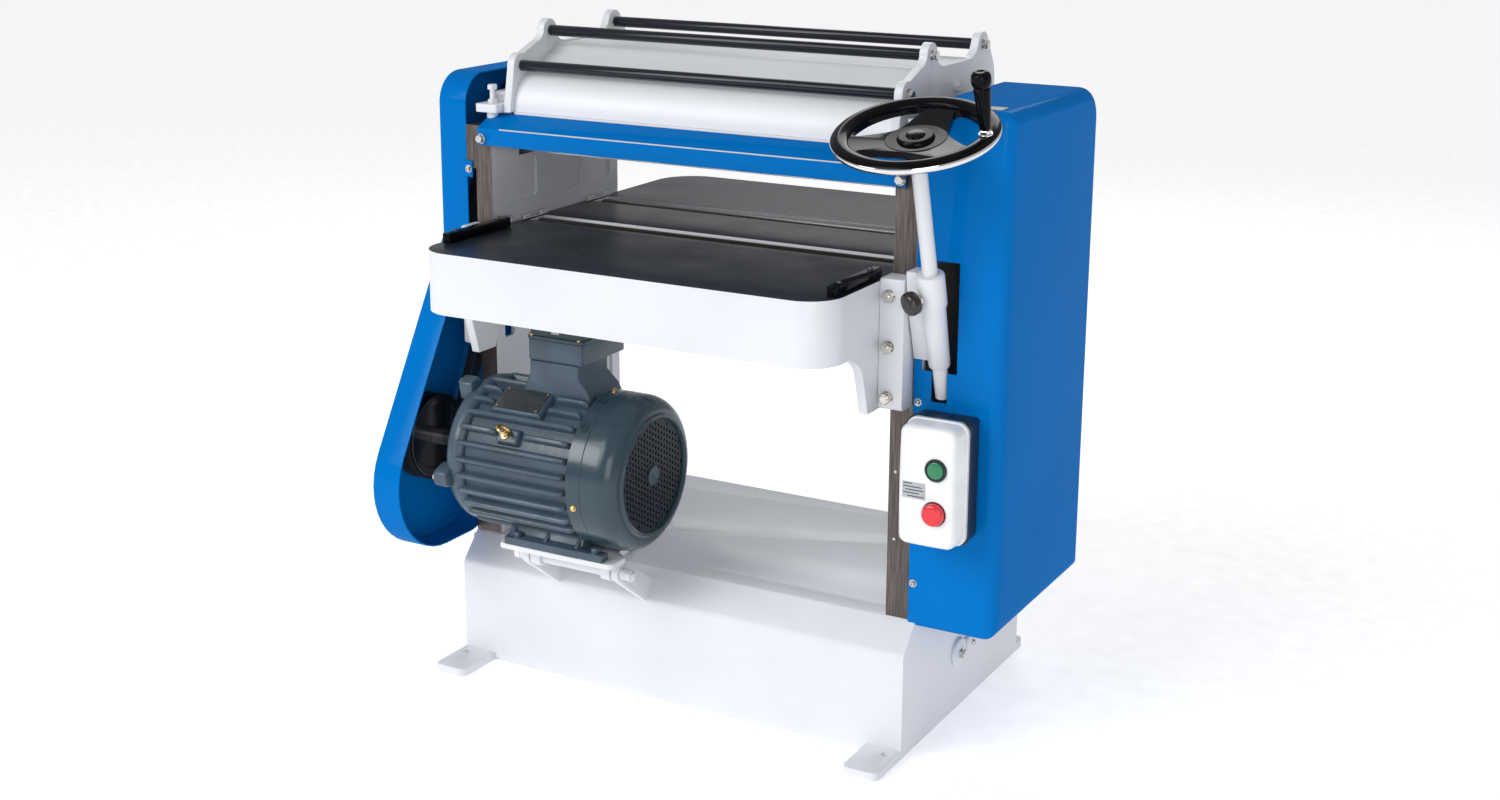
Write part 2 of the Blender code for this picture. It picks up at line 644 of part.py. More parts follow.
def make_lift():
    """Four table screws with sprockets, their nuts and the chain that links them."""
    for hand, x in (("left", LEFT_SCREW_X), ("right", RIGHT_SCREW_X)):
        for place, y in (("front", FRONT_SCREW_Y), ("rear", REAR_SCREW_Y)):
            profile = [
                (0.150, SCREW_R - 0.001), (CHAIN_Z - 0.004, SCREW_R - 0.001), (CHAIN_Z - 0.004, SPROCKET_R),
                (CHAIN_Z + 0.004, SPROCKET_R), (CHAIN_Z + 0.004, SCREW_R - 0.001), (0.206, SCREW_R - 0.001),
                (0.206, SCREW_R), (0.718, SCREW_R), (0.719, SCREW_R - 0.001), (0.722, SCREW_R - 0.001),
            ]
            name = "table_screw_%s_%s" % (hand, place)
            screw = turned(name, "steel", (x, y, 0), (0, 0, 1), profile, 12)
            if (hand, place) == ("right", "front"):
                middle = gear_height()
                teeth = toothed(12, SCREW_GEAR_R - 0.0025, SCREW_GEAR_R)
                gear = prism("screw_gear", "steel", teeth, "Z", -0.006, 0.006)
                gear.location = (x, y, middle)
                fuse(screw, gear)
            side = -1 if x < 0 else 1
            xs = sorted((side * (TABLE_HALF + GAP), x + side * 0.012))
            name = "table_nut_%s_%s" % (hand, place)
            nut = box(name, "machined_iron", xs, (y - 0.0095, y + 0.0095), (0.540, 0.568))
            collar = [(0.540, 0.0125), (0.568, 0.0125)]
            fuse(nut, turned("nut_collar", "steel", (x, y, 0), (0, 0, 1), collar, 14))
            cut(nut, bore((x, y, 0), (0, 0, 1), 0.50, 0.60, SCREW_R + GAP))
    centres = [
        (LEFT_SCREW_X, FRONT_SCREW_Y), (RIGHT_SCREW_X, FRONT_SCREW_Y),
        (RIGHT_SCREW_X, REAR_SCREW_Y), (LEFT_SCREW_X, REAR_SCREW_Y),
    ]
    loop(
        "lift_chain", "black_steel", centres, [SPROCKET_R] * 4, "Z",
        CHAIN_Z - 0.0035, CHAIN_Z + 0.0035, GAP, CHAIN_THICK,
    )


def gear_height():
    """Height where the leaning shaft passes level with the front screws."""
    return WHEEL_HUB.z - (FRONT_SCREW_Y - WHEEL_HUB.y) / tan(WHEEL_LEAN)


# ----------------------------------------------------------------- handwheel
def make_handwheel():
    """Dished handwheel with three spokes, its grip, leaning shaft, bracket and lock knob."""
    rim = []
    for step in range(8):
        a = 2 * pi * (step + 0.5) / 8
        rim.append((RIM_RISE + RIM_THICK * sin(a), WHEEL_R + RIM_HALF * cos(a) / cos(pi / 8)))
    wheel = turned("handwheel", "black_paint", WHEEL_HUB, WHEEL_AXIS, rim[::-1], 32, bored=True)
    hub = [(-0.014, 0.019), (0.012, 0.021), (0.016, 0.017), (0.016, 0.006)]
    fuse(wheel, turned("hub", "black_paint", WHEEL_HUB, WHEEL_AXIS, hub, 16))
    for angle in (90, 210, 330):
        outline = [
            (0.008, -0.013), (0.055, -0.011), (WHEEL_R, -0.017),
            (WHEEL_R, 0.017), (0.055, 0.011), (0.008, 0.013),
        ]
        low = []
        high = []
        for along, across in outline:
            level = -0.006 + RIM_RISE * along / WHEEL_R
            low.append((along, across, level - 0.001))
            high.append((along, across, level + 0.009))
        spoke = skin("spoke", "black_paint", [low, high])
        turn = Matrix.Rotation(radians(angle), 4, "Z")
        spoke.matrix_basis = Matrix.Translation(WHEEL_HUB) @ around(WHEEL_AXIS) @ turn
        fuse(wheel, spoke)
    cut(wheel, bore(WHEEL_HUB, WHEEL_AXIS, -0.05, 0.013, SHAFT_R - 0.002 + GAP))

    profile = [
        (0.0, 0.009), (0.004, 0.0105), (0.030, 0.0095), (0.060, 0.0115),
        (0.072, 0.0125), (0.078, 0.011), (0.081, 0.006),
    ]
    rise = RIM_RISE + RIM_THICK + 0.0005
    seat = WHEEL_HUB + WHEEL_AXIS * rise + Vector((WHEEL_R - 0.001, 0, 0))
    turned("handwheel_grip", "black_plastic", seat, WHEEL_AXIS, profile, 16)

    down = (FRONT_SCREW_Y - WHEEL_HUB.y) / sin(WHEEL_LEAN)
    profile = [
        (-down - 0.020, SHAFT_R - 0.002), (-down - 0.007, SHAFT_R - 0.002), (-down - 0.007, 0.014),
        (-0.0145, SHAFT_R), (-0.0145, SHAFT_R - 0.002), (0.0125, SHAFT_R - 0.002),
    ]
    profile[3:3] = [(-down + 0.007, 0.014), (-down + 0.007, SHAFT_R)]
    shaft = turned("handwheel_shaft", "steel", WHEEL_HUB, WHEEL_AXIS, profile, 16)
    teeth = toothed(24, GEAR_R - 0.0025, GEAR_R)
    gear = prism("shaft_gear", "steel", teeth, "Z", -0.005, 0.005)
    gear.matrix_basis = Matrix.Translation(WHEEL_HUB - WHEEL_AXIS * down) @ around(WHEEL_AXIS)
    fuse(shaft, gear)

    top = (WHEEL_HUB.z - 0.6806) / cos(WHEEL_LEAN)
    sleeve = [
        (-top - 0.135, 0.0140), (-top - 0.045, 0.0160), (-top - 0.045, 0.0185), (-top - 0.002, 0.0185),
        (-top, 0.0170), (-top, SHAFT_R + 2 * GAP), (-top - 0.135, SHAFT_R + 2 * GAP),
    ]
    bracket = turned("shaft_bracket", "white_paint", WHEEL_HUB, WHEEL_AXIS, sleeve, 20, bored=True)
    outline = [(-0.004, 0.556), (0.009, 0.556), (0.009, 0.678), (-0.034, 0.678), (-0.030, 0.640)]
    fuse(bracket, prism("bracket_web", "white_paint", outline, "X", COVER_FACE, 0.3790))
    knob_along = -top - 0.030
    knob_way = Vector((-0.5, -0.83, -0.25)).normalized()
    knob_at = WHEEL_HUB + WHEEL_AXIS * knob_along
    cut(bracket, bore(knob_at, knob_way, 0.0115, 0.035, 0.0040))
    profile = [
        (0.0125, 0.0036), (0.024, 0.0036), (0.024, 0.010), (0.027, 0.0155), (0.036, 0.0160),
        (0.040, 0.0135), (0.0415, 0.007),
    ]
    turned("wheel_lock_knob", "black_plastic", knob_at, knob_way, profile, 16)


# --------------------------------------------------------------------- motor
def make_motor():
    """Foot-mounted motor on a plate that tilts about a rod to tighten the belts."""
    at = Vector((0, MOTOR_Y, MOTOR_Z))
    fins = [(y + MOTOR_Y, z + MOTOR_Z) for y, z in toothed(28, MOTOR_R - 0.009, MOTOR_R - 0.001)]
    frame = prism("motor_frame", "motor_paint", fins, "X", MOTOR_FINS_LEFT, MOTOR_FINS_RIGHT)
    half = MOTOR_FOOT_HALF
    foot = [(-half, 0), (half, 0), (half, 0.012), (0.062, 0.040), (-0.062, 0.040), (-half, 0.012)]
    foot = [(MOTOR_Y + y, MOTOR_FOOT_Z + z) for y, z in foot]
    fuse(frame, prism("foot", "motor_paint", foot, "X", -0.204, MOTOR_FINS_RIGHT - 0.001))
    for side in (-1, 1):
        ys = sorted((MOTOR_Y + side * 0.064, MOTOR_Y + side * (half - 0.0005)))
        zs = (MOTOR_FOOT_Z + 0.0005, MOTOR_FOOT_Z + 0.0115)
        fuse(frame, box("toe", "motor_paint", (-0.200, -0.040), ys, zs))
    pad = box("box_pad", "motor_paint", (-0.185, -0.105), (-0.112, -0.028), (MOTOR_Z + 0.080, 0.505 - GAP))
    fuse(frame, pad)
    cut(frame, bore(at, (1, 0, 0), -0.30, -0.05, 0.076, 20))
    profile = [
        (MOTOR_LEFT, 0.0147), (MOTOR_LEFT, 0.040), (MOTOR_LEFT + 0.006, 0.048), (MOTOR_LEFT + 0.010, 0.082),
        (MOTOR_LEFT + 0.022, 0.101), (MOTOR_FINS_LEFT - GAP, 0.108), (MOTOR_FINS_LEFT - GAP, 0.092),
        (MOTOR_LEFT + 0.018, 0.078), (MOTOR_LEFT + 0.018, 0.0147),
    ]
    turned("motor_drive_shield", "motor_paint", at, (1, 0, 0), profile, 24, bored=True)
    left = MOTOR_FINS_RIGHT + GAP
    profile = [
        (left, MOTOR_R - 0.003), (left, MOTOR_R), (-0.030, MOTOR_R), (-0.016, MOTOR_R - 0.006),
        (-0.006, 0.097), (MOTOR_RIGHT, 0.087), (-0.004, 0.080), (-0.006, 0.030),
        (MOTOR_RIGHT - 0.001, 0.028), (MOTOR_RIGHT - 0.001, 0.006), (-0.010, 0.006), (-0.010, 0.080),
        (-0.014, 0.092), (-0.022, MOTOR_R - 0.010), (-0.032, MOTOR_R - 0.003),
    ]
    turned("motor_fan_cover", "motor_paint", at, (1, 0, 0), profile, 28, bored=True)
    corners = [(-0.190, -0.105), (-0.100, -0.105), (-0.100, 0.008), (-0.190, 0.008)]
    outline = rounded(corners, [0.006] * 4, steps=2)
    terminal = prism("terminal_box", "motor_paint", outline, "Z", 0.505, 0.536)
    wider = [(x + (0.002 if x > -0.145 else -0.002), y) for x, y in outline]
    fuse(terminal, prism("lid", "motor_paint", wider, "Z", 0.535, 0.558))
    profile = [
        (-0.4105, 0.013), (MOTOR_LEFT - 0.012, 0.013), (MOTOR_LEFT - 0.012, 0.014), (-0.245, 0.014),
        (-0.245, 0.0715), (-0.095, 0.0715), (-0.095, 0.014), (-0.058, 0.014), (-0.058, 0.085),
        (-0.050, 0.085), (-0.034, 0.030), (-0.030, 0.014), (-0.024, 0.012),
    ]
    turned("motor_rotor", "steel", at, (1, 0, 0), profile, 20)
    make_pulley("motor_pulley", (MOTOR_Y, MOTOR_Z), MOTOR_PULLEY_R, 0.013)

    top = MOTOR_FOOT_Z - GAP
    plate = box("motor_plate", "white_paint", (-0.216, -0.004), (-0.150, 0.052), (top - 0.008, top))
    knuckle = arc((HINGE_Y, HINGE_Z), 0.013, 180, 360, 8)
    lug = [(HINGE_Y - 0.013, top - 0.004), *knuckle, (HINGE_Y + 0.013, top - 0.004)]
    for x in (-0.180, -0.062):
        fuse(plate, prism("plate_lug", "white_paint", lug, "X", x - 0.008, x + 0.008))
    cut(plate, bore((0, HINGE_Y, HINGE_Z), (1, 0, 0), -0.25, 0, ROD_R + GAP))
    cut(plate, bore((-0.115, 0.038, 0), (0, 0, 1), 0.20, 0.30, 0.0053))
    rod = [(-0.210, ROD_R - 0.001), (-0.209, ROD_R), (-0.033, ROD_R), (-0.032, ROD_R - 0.001)]
    turned("motor_hinge_rod", "steel", (0, HINGE_Y, HINGE_Z), (1, 0, 0), rod, 20)


# -------------------------------------------------------------------- switch
def make_switch():
    """Switch box on the right cover, with its lid and two push buttons."""
    corners = [
        (SWITCH_X[0], SWITCH_Z[0]), (SWITCH_X[1], SWITCH_Z[0]),
        (SWITCH_X[1], SWITCH_Z[1]), (SWITCH_X[0], SWITCH_Z[1]),
    ]
    back = COVER_FRONT - GAP
    face = -SWITCH_DEEP
    rings = [lift(rounded(corners, [0.006] * 4, steps=3), "Y", level) for level in (back, face)]
    case = skin("switch_box", "black_plastic", rings)
    inside = rounded(corners, [0.006] * 4, 0.004, steps=3)
    cut(case, prism("switch_hollow", "black_plastic", inside, "Y", face - 0.01, back - 0.004))
    front = face - LID_DEEP
    levels = ((face - GAP, 0.002), (front + 0.012, 0.003), (front + 0.003, 0.006), (front, 0.009))
    rings = [lift(rounded(corners, [0.014] * 4, inset, steps=4), "Y", level) for level, inset in levels]
    lid = skin("switch_lid", "white_paint", rings)
    for word, (x, z), radius, finish, proud in (
        ("start", START_AT, START_R, "green_plastic", 0.006),
        ("stop", STOP_AT, STOP_R, "red_plastic", 0.010),
    ):
        cut(lid, bore((x, front, z), (0, 1, 0), -0.001, 0.018, radius + 0.0004, 20))
        profile = [
            (-proud, radius * 0.55), (-proud + 0.0012, radius * 0.85), (-proud + 0.003, radius),
            (0.010, radius), (0.010, radius * 0.5),
        ]
        turned(word + "_button", finish, (x, front, z), (0, 1, 0), profile, 20)


make_base()
make_side_frame(-1)
make_side_frame(1)
make_cross_covers()
make_belt_guard()
make_gear_cover()
make_hood()
make_cutterhead()
make_belts()
make_feed_works()
make_table()
make_lift()
make_handwheel()
make_motor()
make_switch()
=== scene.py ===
"""Looks for the floor-standing thickness planer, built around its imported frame.

Pieces are drawn in the machine's own coordinates, in metres: X runs to the right, Y backwards,
Z up, X = 0 is midway between the side frames, Y = 0 is their front and Z = 0 is the floor.
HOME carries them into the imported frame.
"""

import json
from math import atan2, cos, pi, radians, sin, sqrt, tan

import bmesh
import bpy
from mathutils import Euler, Matrix, Vector


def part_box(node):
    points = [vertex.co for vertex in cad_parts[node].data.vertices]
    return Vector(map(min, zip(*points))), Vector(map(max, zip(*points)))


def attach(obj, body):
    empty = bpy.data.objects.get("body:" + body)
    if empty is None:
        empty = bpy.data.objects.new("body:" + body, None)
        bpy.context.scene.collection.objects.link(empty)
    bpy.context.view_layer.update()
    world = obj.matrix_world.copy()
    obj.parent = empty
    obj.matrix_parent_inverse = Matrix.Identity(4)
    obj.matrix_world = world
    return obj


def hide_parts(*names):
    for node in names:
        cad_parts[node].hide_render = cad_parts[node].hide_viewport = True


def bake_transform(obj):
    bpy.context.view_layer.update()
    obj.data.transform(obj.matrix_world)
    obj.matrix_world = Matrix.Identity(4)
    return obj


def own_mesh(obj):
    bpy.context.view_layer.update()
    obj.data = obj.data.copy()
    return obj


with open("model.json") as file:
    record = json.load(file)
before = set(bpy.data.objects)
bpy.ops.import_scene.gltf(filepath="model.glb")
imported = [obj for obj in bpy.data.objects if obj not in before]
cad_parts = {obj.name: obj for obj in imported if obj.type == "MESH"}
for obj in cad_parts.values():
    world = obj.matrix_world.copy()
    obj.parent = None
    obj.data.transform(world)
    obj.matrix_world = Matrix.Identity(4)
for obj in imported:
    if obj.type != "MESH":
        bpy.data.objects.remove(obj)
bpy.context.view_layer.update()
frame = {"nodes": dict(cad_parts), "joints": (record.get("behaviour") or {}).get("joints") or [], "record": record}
scene = bpy.context.scene

HOME = Vector((
    (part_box("left_side_frame")[0].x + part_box("right_side_frame")[1].x) / 2,
    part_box("right_side_frame")[0].y,
    0,
))
GAP = 0.0003                     # clearance between pieces that touch


def span(node):
    """Lowest and highest corner of a CAD node in the machine's coordinates."""
    low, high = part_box(node)
    return low - HOME, high - HOME


def pivot(name):
    """A point on a joint's axis in the machine's coordinates, and its direction."""
    joint = next(j for j in frame["joints"] if j["name"] == name)
    return Vector(joint["pos_m"]) - HOME, Vector(joint["axis"])


# ----------------------------------------------------------------- materials
class Nodes:
    """A Principled material whose colour, roughness and relief come from noise."""

    def __init__(self, name, colour, roughness, metallic=0.0, coat=0.0, specular=0.5):
        self.material = bpy.data.materials.new(name)
        self.material.use_nodes = True
        self.tree = self.material.node_tree
        self.shader = self.tree.nodes["Principled BSDF"]
        self.colour = colour
        self.roughness = roughness
        self.shader.inputs["Metallic"].default_value = metallic
        self.shader.inputs["Coat Weight"].default_value = coat
        self.shader.inputs["Coat Roughness"].default_value = 0.08
        self.shader.inputs["Specular IOR Level"].default_value = specular
        self.place = self.add("ShaderNodeTexCoord").outputs["Object"]
        self.relief = None

    def add(self, kind, **settings):
        node = self.tree.nodes.new(kind)
        for key, value in settings.items():
            setattr(node, key, value)
        return node

    def join(self, source, target):
        self.tree.links.new(source, target)

    def noise(self, scale, stretch=(1, 1, 1), detail=4.0):
        """Noise of a given scale, squeezed along each axis by stretch."""
        mapping = self.add("ShaderNodeMapping")
        mapping.inputs["Scale"].default_value = stretch
        self.join(self.place, mapping.inputs["Vector"])
        noise = self.add("ShaderNodeTexNoise")
        noise.inputs["Scale"].default_value = scale
        noise.inputs["Detail"].default_value = detail
        self.join(mapping.outputs["Vector"], noise.inputs["Vector"])
        return noise.outputs["Fac"]

    def ranged(self, source, low, high):
        """Map a 0 to 1 pattern onto a pair of values."""
        node = self.add("ShaderNodeMapRange")
        node.inputs["From Min"].default_value = 0.3
        node.inputs["From Max"].default_value = 0.7
        node.inputs["To Min"].default_value = low
        node.inputs["To Max"].default_value = high
        self.join(source, node.inputs["Value"])
        return node.outputs["Result"]

    def mottle(self, source, darker, lighter):
        """Vary the colour between two multiples of itself."""
        mix = self.add("ShaderNodeMix", data_type="RGBA")
        mix.inputs["A"].default_value = (*[c * darker for c in self.colour], 1)
        mix.inputs["B"].default_value = (*[min(c * lighter, 1) for c in self.colour], 1)
        self.join(self.ranged(source, 0, 1), mix.inputs["Factor"])
        self.join(mix.outputs["Result"], self.shader.inputs["Base Color"])

    def gloss(self, source, spread):
        """Vary the roughness about its middle value."""
        low = max(self.roughness - spread, 0.02)
        self.join(self.ranged(source, low, self.roughness + spread), self.shader.inputs["Roughness"])

    def bump(self, source, strength, distance=0.0004):
        """Add a layer of relief on top of those already there."""
        node = self.add("ShaderNodeBump")
        node.inputs["Strength"].default_value = strength
        node.inputs["Distance"].default_value = distance
        self.join(source, node.inputs["Height"])
        if self.relief:
            self.join(self.relief, node.inputs["Normal"])
        self.relief = node.outputs["Normal"]
        self.join(self.relief, self.shader.inputs["Normal"])


def sprayed(name, colour, roughness, coat=0.25, peel=0.05, specular=0.5):
    """Sprayed machine paint: faint cloudiness and orange peel."""
    made = Nodes(name, colour, roughness, coat=coat, specular=specular)
    made.mottle(made.noise(5.0), 0.955, 1.035)
    made.gloss(made.noise(14.0), 0.05)
    made.bump(made.noise(420.0, detail=2.0), peel)
    return made.material


def cast_paint(name, colour, roughness, depth=0.35):
    """Paint over a sand casting: lumpy relief, and tone that varies at random."""
    made = Nodes(name, colour, roughness, coat=0.15)
    lumps = made.noise(150.0, detail=6.0)
    made.mottle(made.noise(22.0), 0.82, 1.18)
    made.gloss(lumps, 0.08)
    made.bump(lumps, depth, 0.0010)
    made.bump(made.noise(520.0, detail=2.0), 0.12)
    return made.material


def ground(name, colour, roughness, metallic, stretch, contrast=0.22, depth=0.05, coat=0.0, specular=0.5):
    """Ground or machined metal: fine marks drawn out along one axis."""
    made = Nodes(name, colour, roughness, metallic, coat, specular)
    marks = made.noise(60.0, stretch, detail=5.0)
    made.mottle(marks, 1 - contrast, 1 + contrast)
    made.gloss(made.noise(9.0), 0.07)
    made.bump(marks, depth, 0.0002)
    return made.material


def moulded(name, colour, roughness, coat=0.0, texture=0.06):
    """Moulded plastic or rubber with a fine even texture."""
    made = Nodes(name, colour, roughness, coat=coat)
    made.mottle(made.noise(30.0), 0.93, 1.07)
    made.gloss(made.noise(60.0), 0.05)
    made.bump(made.noise(900.0, detail=2.0), texture)
    return made.material


WHITE = sprayed("white_paint", (0.71, 0.725, 0.76), 0.40, coat=0.1)
BLUE = sprayed("blue_paint", (0.0, 0.155, 0.50), 0.38, coat=0.09, specular=0.0)
BLACK = sprayed("gloss_black", (0.003, 0.0033, 0.0045), 0.12, coat=0.04, peel=0.02, specular=0.07)
MOTOR_PAINT = cast_paint("motor_cast_paint", (0.044, 0.077, 0.108), 0.42)
MOTOR_SHEET = sprayed("motor_sheet_paint", (0.026, 0.052, 0.070), 0.24, coat=0.25, peel=0.04, specular=0.35)
TABLE_IRON = ground("table_iron", (0.016, 0.021, 0.030), 0.33, 0.0, (0.3, 6, 1), 0.20, 0.012, 0.0, 0.25)
FRAME_IRON = ground("machined_iron", (0.115, 0.098, 0.090), 0.42, 0.70, (7, 7, 0.35), 0.45, 0.10)
CAST_IRON = cast_paint("bare_cast_iron", (0.10, 0.095, 0.09), 0.50, 0.2)
STEEL = ground("turned_steel", (0.56, 0.56, 0.58), 0.27, 1.0, (12, 1, 1), 0.12, 0.04)
ZINC = ground("zinc_plate", (0.62, 0.60, 0.56), 0.24, 1.0, (1, 1, 1), 0.18, 0.05)
CHROME = ground("chrome_rim", (0.78, 0.77, 0.76), 0.07, 1.0, (1, 1, 1), 0.05, 0.0)
BRASS = ground("brass", (0.72, 0.50, 0.20), 0.22, 1.0, (1, 1, 1), 0.18, 0.05)
BLACK_STEEL = ground("black_steel", (0.005, 0.007, 0.014), 0.20, 0.0, (0.3, 6, 6), 0.12, 0.01, 0.12, 0.30)
ROLLER = ground("roller_steel", (0.030, 0.029, 0.026), 0.24, 0.0, (12, 1, 1), 0.10, 0.02, 0.0, 0.40)
GRILLE = sprayed("grille_paint", (0.008, 0.015, 0.022), 0.34, coat=0.05, peel=0.03, specular=0.18)
# Pale paint for a thin strip along the front cover's fold: a painted highlight of the bend
PAINTED_FOLD_HIGHLIGHT = moulded("painted_fold_highlight", (0.62, 0.58, 0.50), 0.45)
CHAIN_STEEL = ground("chain_steel", (0.10, 0.10, 0.11), 0.38, 0.9, (1, 1, 1), 0.35, 0.08)
RUBBER = moulded("belt_rubber", (0.014, 0.014, 0.015), 0.72, texture=0.25)
PLASTIC = moulded("black_plastic", (0.012, 0.013, 0.015), 0.34)
KNOB = moulded("knob_plastic", (0.016, 0.010, 0.009), 0.26, coat=0.4)
LID = moulded("lid_plastic", (0.80, 0.815, 0.83), 0.33, coat=0.3, texture=0.04)
GREEN = moulded("green_plastic", (0.005, 0.20, 0.075), 0.25, coat=0.5)
RED = moulded("red_plastic", (0.70, 0.010, 0.022), 0.22, coat=0.6)
LABEL = moulded("label_grey", (0.42, 0.44, 0.47), 0.35)
PLATE = moulded("plate_dark", (0.016, 0.022, 0.022), 0.18, coat=0.8)
PALE = moulded("plate_pale", (0.36, 0.35, 0.29), 0.40)
FLOOR = moulded("pale_floor", (0.955, 0.955, 0.96), 0.70)
FLOOR.node_tree.nodes["Principled BSDF"].inputs["Emission Color"].default_value = (1, 1, 1, 1)
FLOOR.node_tree.nodes["Principled BSDF"].inputs["Emission Strength"].default_value = 0.36


# ------------------------------------------------------------ shape building
def lift(outline, axis, level):
    """Place a flat outline at a level of an axis: X takes (y, z), Y (x, z), Z (x, y)."""
    if axis == "X":
        return [(level, a, b) for a, b in outline]
    if axis == "Y":
        return [(a, level, b) for a, b in outline]
    return [(a, b, level) for a, b in outline]


def skin(work, rings, ends="capped", place=None):
    """Add a closed skin over rings of points, with capped or looped ends."""
    place = place or Matrix.Identity(4)
    rows = [[work.verts.new(place @ Vector(point)) for point in ring] for ring in rings]
    pairs = list(zip(rows, rows[1:]))
    if ends == "looped":
        pairs.append((rows[-1], rows[0]))
    count = len(rows[0])
    for low, high in pairs:
        for here in range(count):
            after = (here + 1) % count
            work.faces.new((low[here], low[after], high[after], high[here]))
    if ends == "capped":
        work.faces.new(rows[0][::-1])
        work.faces.new(rows[-1])


def prism(work, outline, axis, low, high):
    """Add an outline extruded between two levels of an axis."""
    skin(work, [lift(outline, axis, low), lift(outline, axis, high)])


def box(work, xs, ys, zs):
    """Add a block between three pairs of limits."""
    prism(work, rectangle(xs, ys), "Z", *zs)


def frame_at(at, axis):
    """The placement that takes local Z to a direction through a point."""
    turn = Vector((0, 0, 1)).rotation_difference(Vector(axis)).to_matrix().to_4x4()
    return Matrix.Translation(at) @ turn


def circle(radius, level, count):
    """A ring of points about local Z at a level."""
    turn = [2 * pi * step / count for step in range(count)]
    return [(radius * cos(a), radius * sin(a), level) for a in turn]


def turned(work, at, axis, profile, segments=32, ends="capped"):
    """Add a profile of (distance along the axis, radius) turned about an axis."""
    skin(work, [circle(radius, level, segments) for level, radius in profile], ends, frame_at(at, axis))


def across(work, at, profile, segments=32, ends="capped"):
    """Add a profile turned about the line through a point that runs from left to right."""
    turned(work, (0, at.y, at.z), (1, 0, 0), profile, segments, ends)


def arc(centre, radius, start, end, steps):
    """Points on an arc in a plane, angles in degrees."""
    found = []
    for step in range(steps + 1):
        a = radians(start + (end - start) * step / steps)
        found.append((centre[0] + radius * cos(a), centre[1] + radius * sin(a)))
    return found


def rounded(corners, radii, inset=0.0, steps=6):
    """An anticlockwise outline with its corners rounded, shrunk inwards by inset."""
    count = len(corners)
    sides = []
    for here in range(count):
        a = Vector(corners[here])
        along = (Vector(corners[(here + 1) % count]) - a).normalized()
        sides.append((a + Vector((-along.y, along.x)) * inset, along))
    points = []
    for here in range(count):
        before, d1 = sides[here - 1]
        start, d2 = sides[here]
        cross = d1.x * d2.y - d1.y * d2.x
        reach = ((start - before).x * d2.y - (start - before).y * d2.x) / cross
        corner = before + d1 * reach
        radius = max(radii[here] - inset if cross > 0 else radii[here] + inset, 0.0002)
        turn = atan2(cross, d1.dot(d2))
        first = corner - d1 * radius * abs(tan(turn / 2))
        centre = first + Vector((-d1.y, d1.x)) * (radius if cross > 0 else -radius)
        spoke = first - centre
        for step in range(steps + 1):
            a = turn * step / steps
            points.append((
                centre.x + spoke.x * cos(a) - spoke.y * sin(a),
                centre.y + spoke.x * sin(a) + spoke.y * cos(a),
            ))
    return points


def rectangle(xs, ys):
    return [(xs[0], ys[0]), (xs[1], ys[0]), (xs[1], ys[1]), (xs[0], ys[1])]


TAKEN = set()                    # CAD nodes that a piece stands for


def shown(item, body, materials, replaces=(), follow=None):
    """Give a piece its materials and fix it to its body; given follow, it is left on no body, its placement baked
    into its mesh.
    """
    TAKEN.update(replaces)
    for material in materials if isinstance(materials, (list, tuple)) else [materials]:
        item.data.materials.append(material)
    if follow:
        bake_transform(item)
    else:
        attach(item, body)
    if replaces:
        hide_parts(*replaces)
    return item


def solid(name, work, smooth=35.0):
    """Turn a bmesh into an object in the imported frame, shaded smooth below an angle."""
    bmesh.ops.recalc_face_normals(work, faces=work.faces)
    mesh = bpy.data.meshes.new(name)
    work.to_mesh(mesh)
    work.free()
    mesh.transform(Matrix.Translation(HOME))
    mesh.shade_smooth()
    mesh.set_sharp_from_angle(angle=radians(smooth))
    item = bpy.data.objects.new(name, mesh)
    scene.collection.objects.link(item)
    return item


def settle(item, smooth=35.0):
    """Apply an object's modifiers to its mesh."""
    graph = bpy.context.evaluated_depsgraph_get()
    mesh = bpy.data.meshes.new_from_object(item.evaluated_get(graph))
    item.modifiers.clear()
    item.data = mesh
    mesh.shade_smooth()
    mesh.set_sharp_from_angle(angle=radians(smooth))
    return item


def carve(item, *changes):
    """Apply Booleans, given as (operation, bmesh), one after another."""
    helpers = []
    for operation, work in changes:
        other = solid("helper", work)
        modifier = item.modifiers.new("carve", "BOOLEAN")
        modifier.operation = operation
        modifier.solver = "EXACT"
        modifier.object = other
        helpers.append(other)
    settle(item)
    for other in helpers:
        bpy.data.objects.remove(other, do_unlink=True)
    return item


def soften(item, width, segments=2, angle=30.0, smooth=35.0, merge=True):
    """Round an object's edges, after merging the flat faces that the carving left split."""
    if merge:
        flat = item.modifiers.new("flat", "DECIMATE")
        flat.decimate_type = "DISSOLVE"
        flat.angle_limit = radians(0.3)
    edge = item.modifiers.new("edge", "BEVEL")
    edge.width = width
    edge.segments = segments
    edge.limit_method = "ANGLE"
    edge.angle_limit = radians(angle)
    edge.use_clamp_overlap = True
    return settle(item, smooth)


def piece(name, work, body, materials, replaces=(), follow=None, smooth=35.0, edge=0.0):
    """Turn a bmesh into a finished piece on a body, with its edges rounded where edge is given."""
    item = solid(name, work, smooth)
    if edge:
        soften(item, edge)
    return shown(item, body, materials, replaces, follow)


def new():
    return bmesh.new()


# ----------------------------------------------------------------- fasteners
def six_sided(work, place, levels):
    """Add a six-sided piece from pairs of (level, distance to a corner)."""
    skin(
        work, [[(r * cos(pi / 3 * k), r * sin(pi / 3 * k), z) for k in range(6)] for z, r in levels],
        place=place,
    )


def hexagon(work, place, width, low, high):
    """Add a hexagonal head or nut of a width between flats, chamfered at its upper face."""
    corner = width / sqrt(3)
    six_sided(work, place, ((low, corner), (high - 0.09 * width, corner), (high, corner * 0.86)))


def disc(work, place, radius, low, high, segments=24, edge=0.0):
    """Add a short round piece, with an edge radius at its upper face."""
    profile = [(low, radius), (high, radius)]
    if edge:
        profile = [(low, radius), (high - edge, radius), (high, radius - edge)]
    skin(work, [circle(reach, level, segments) for level, reach in profile], place=place)


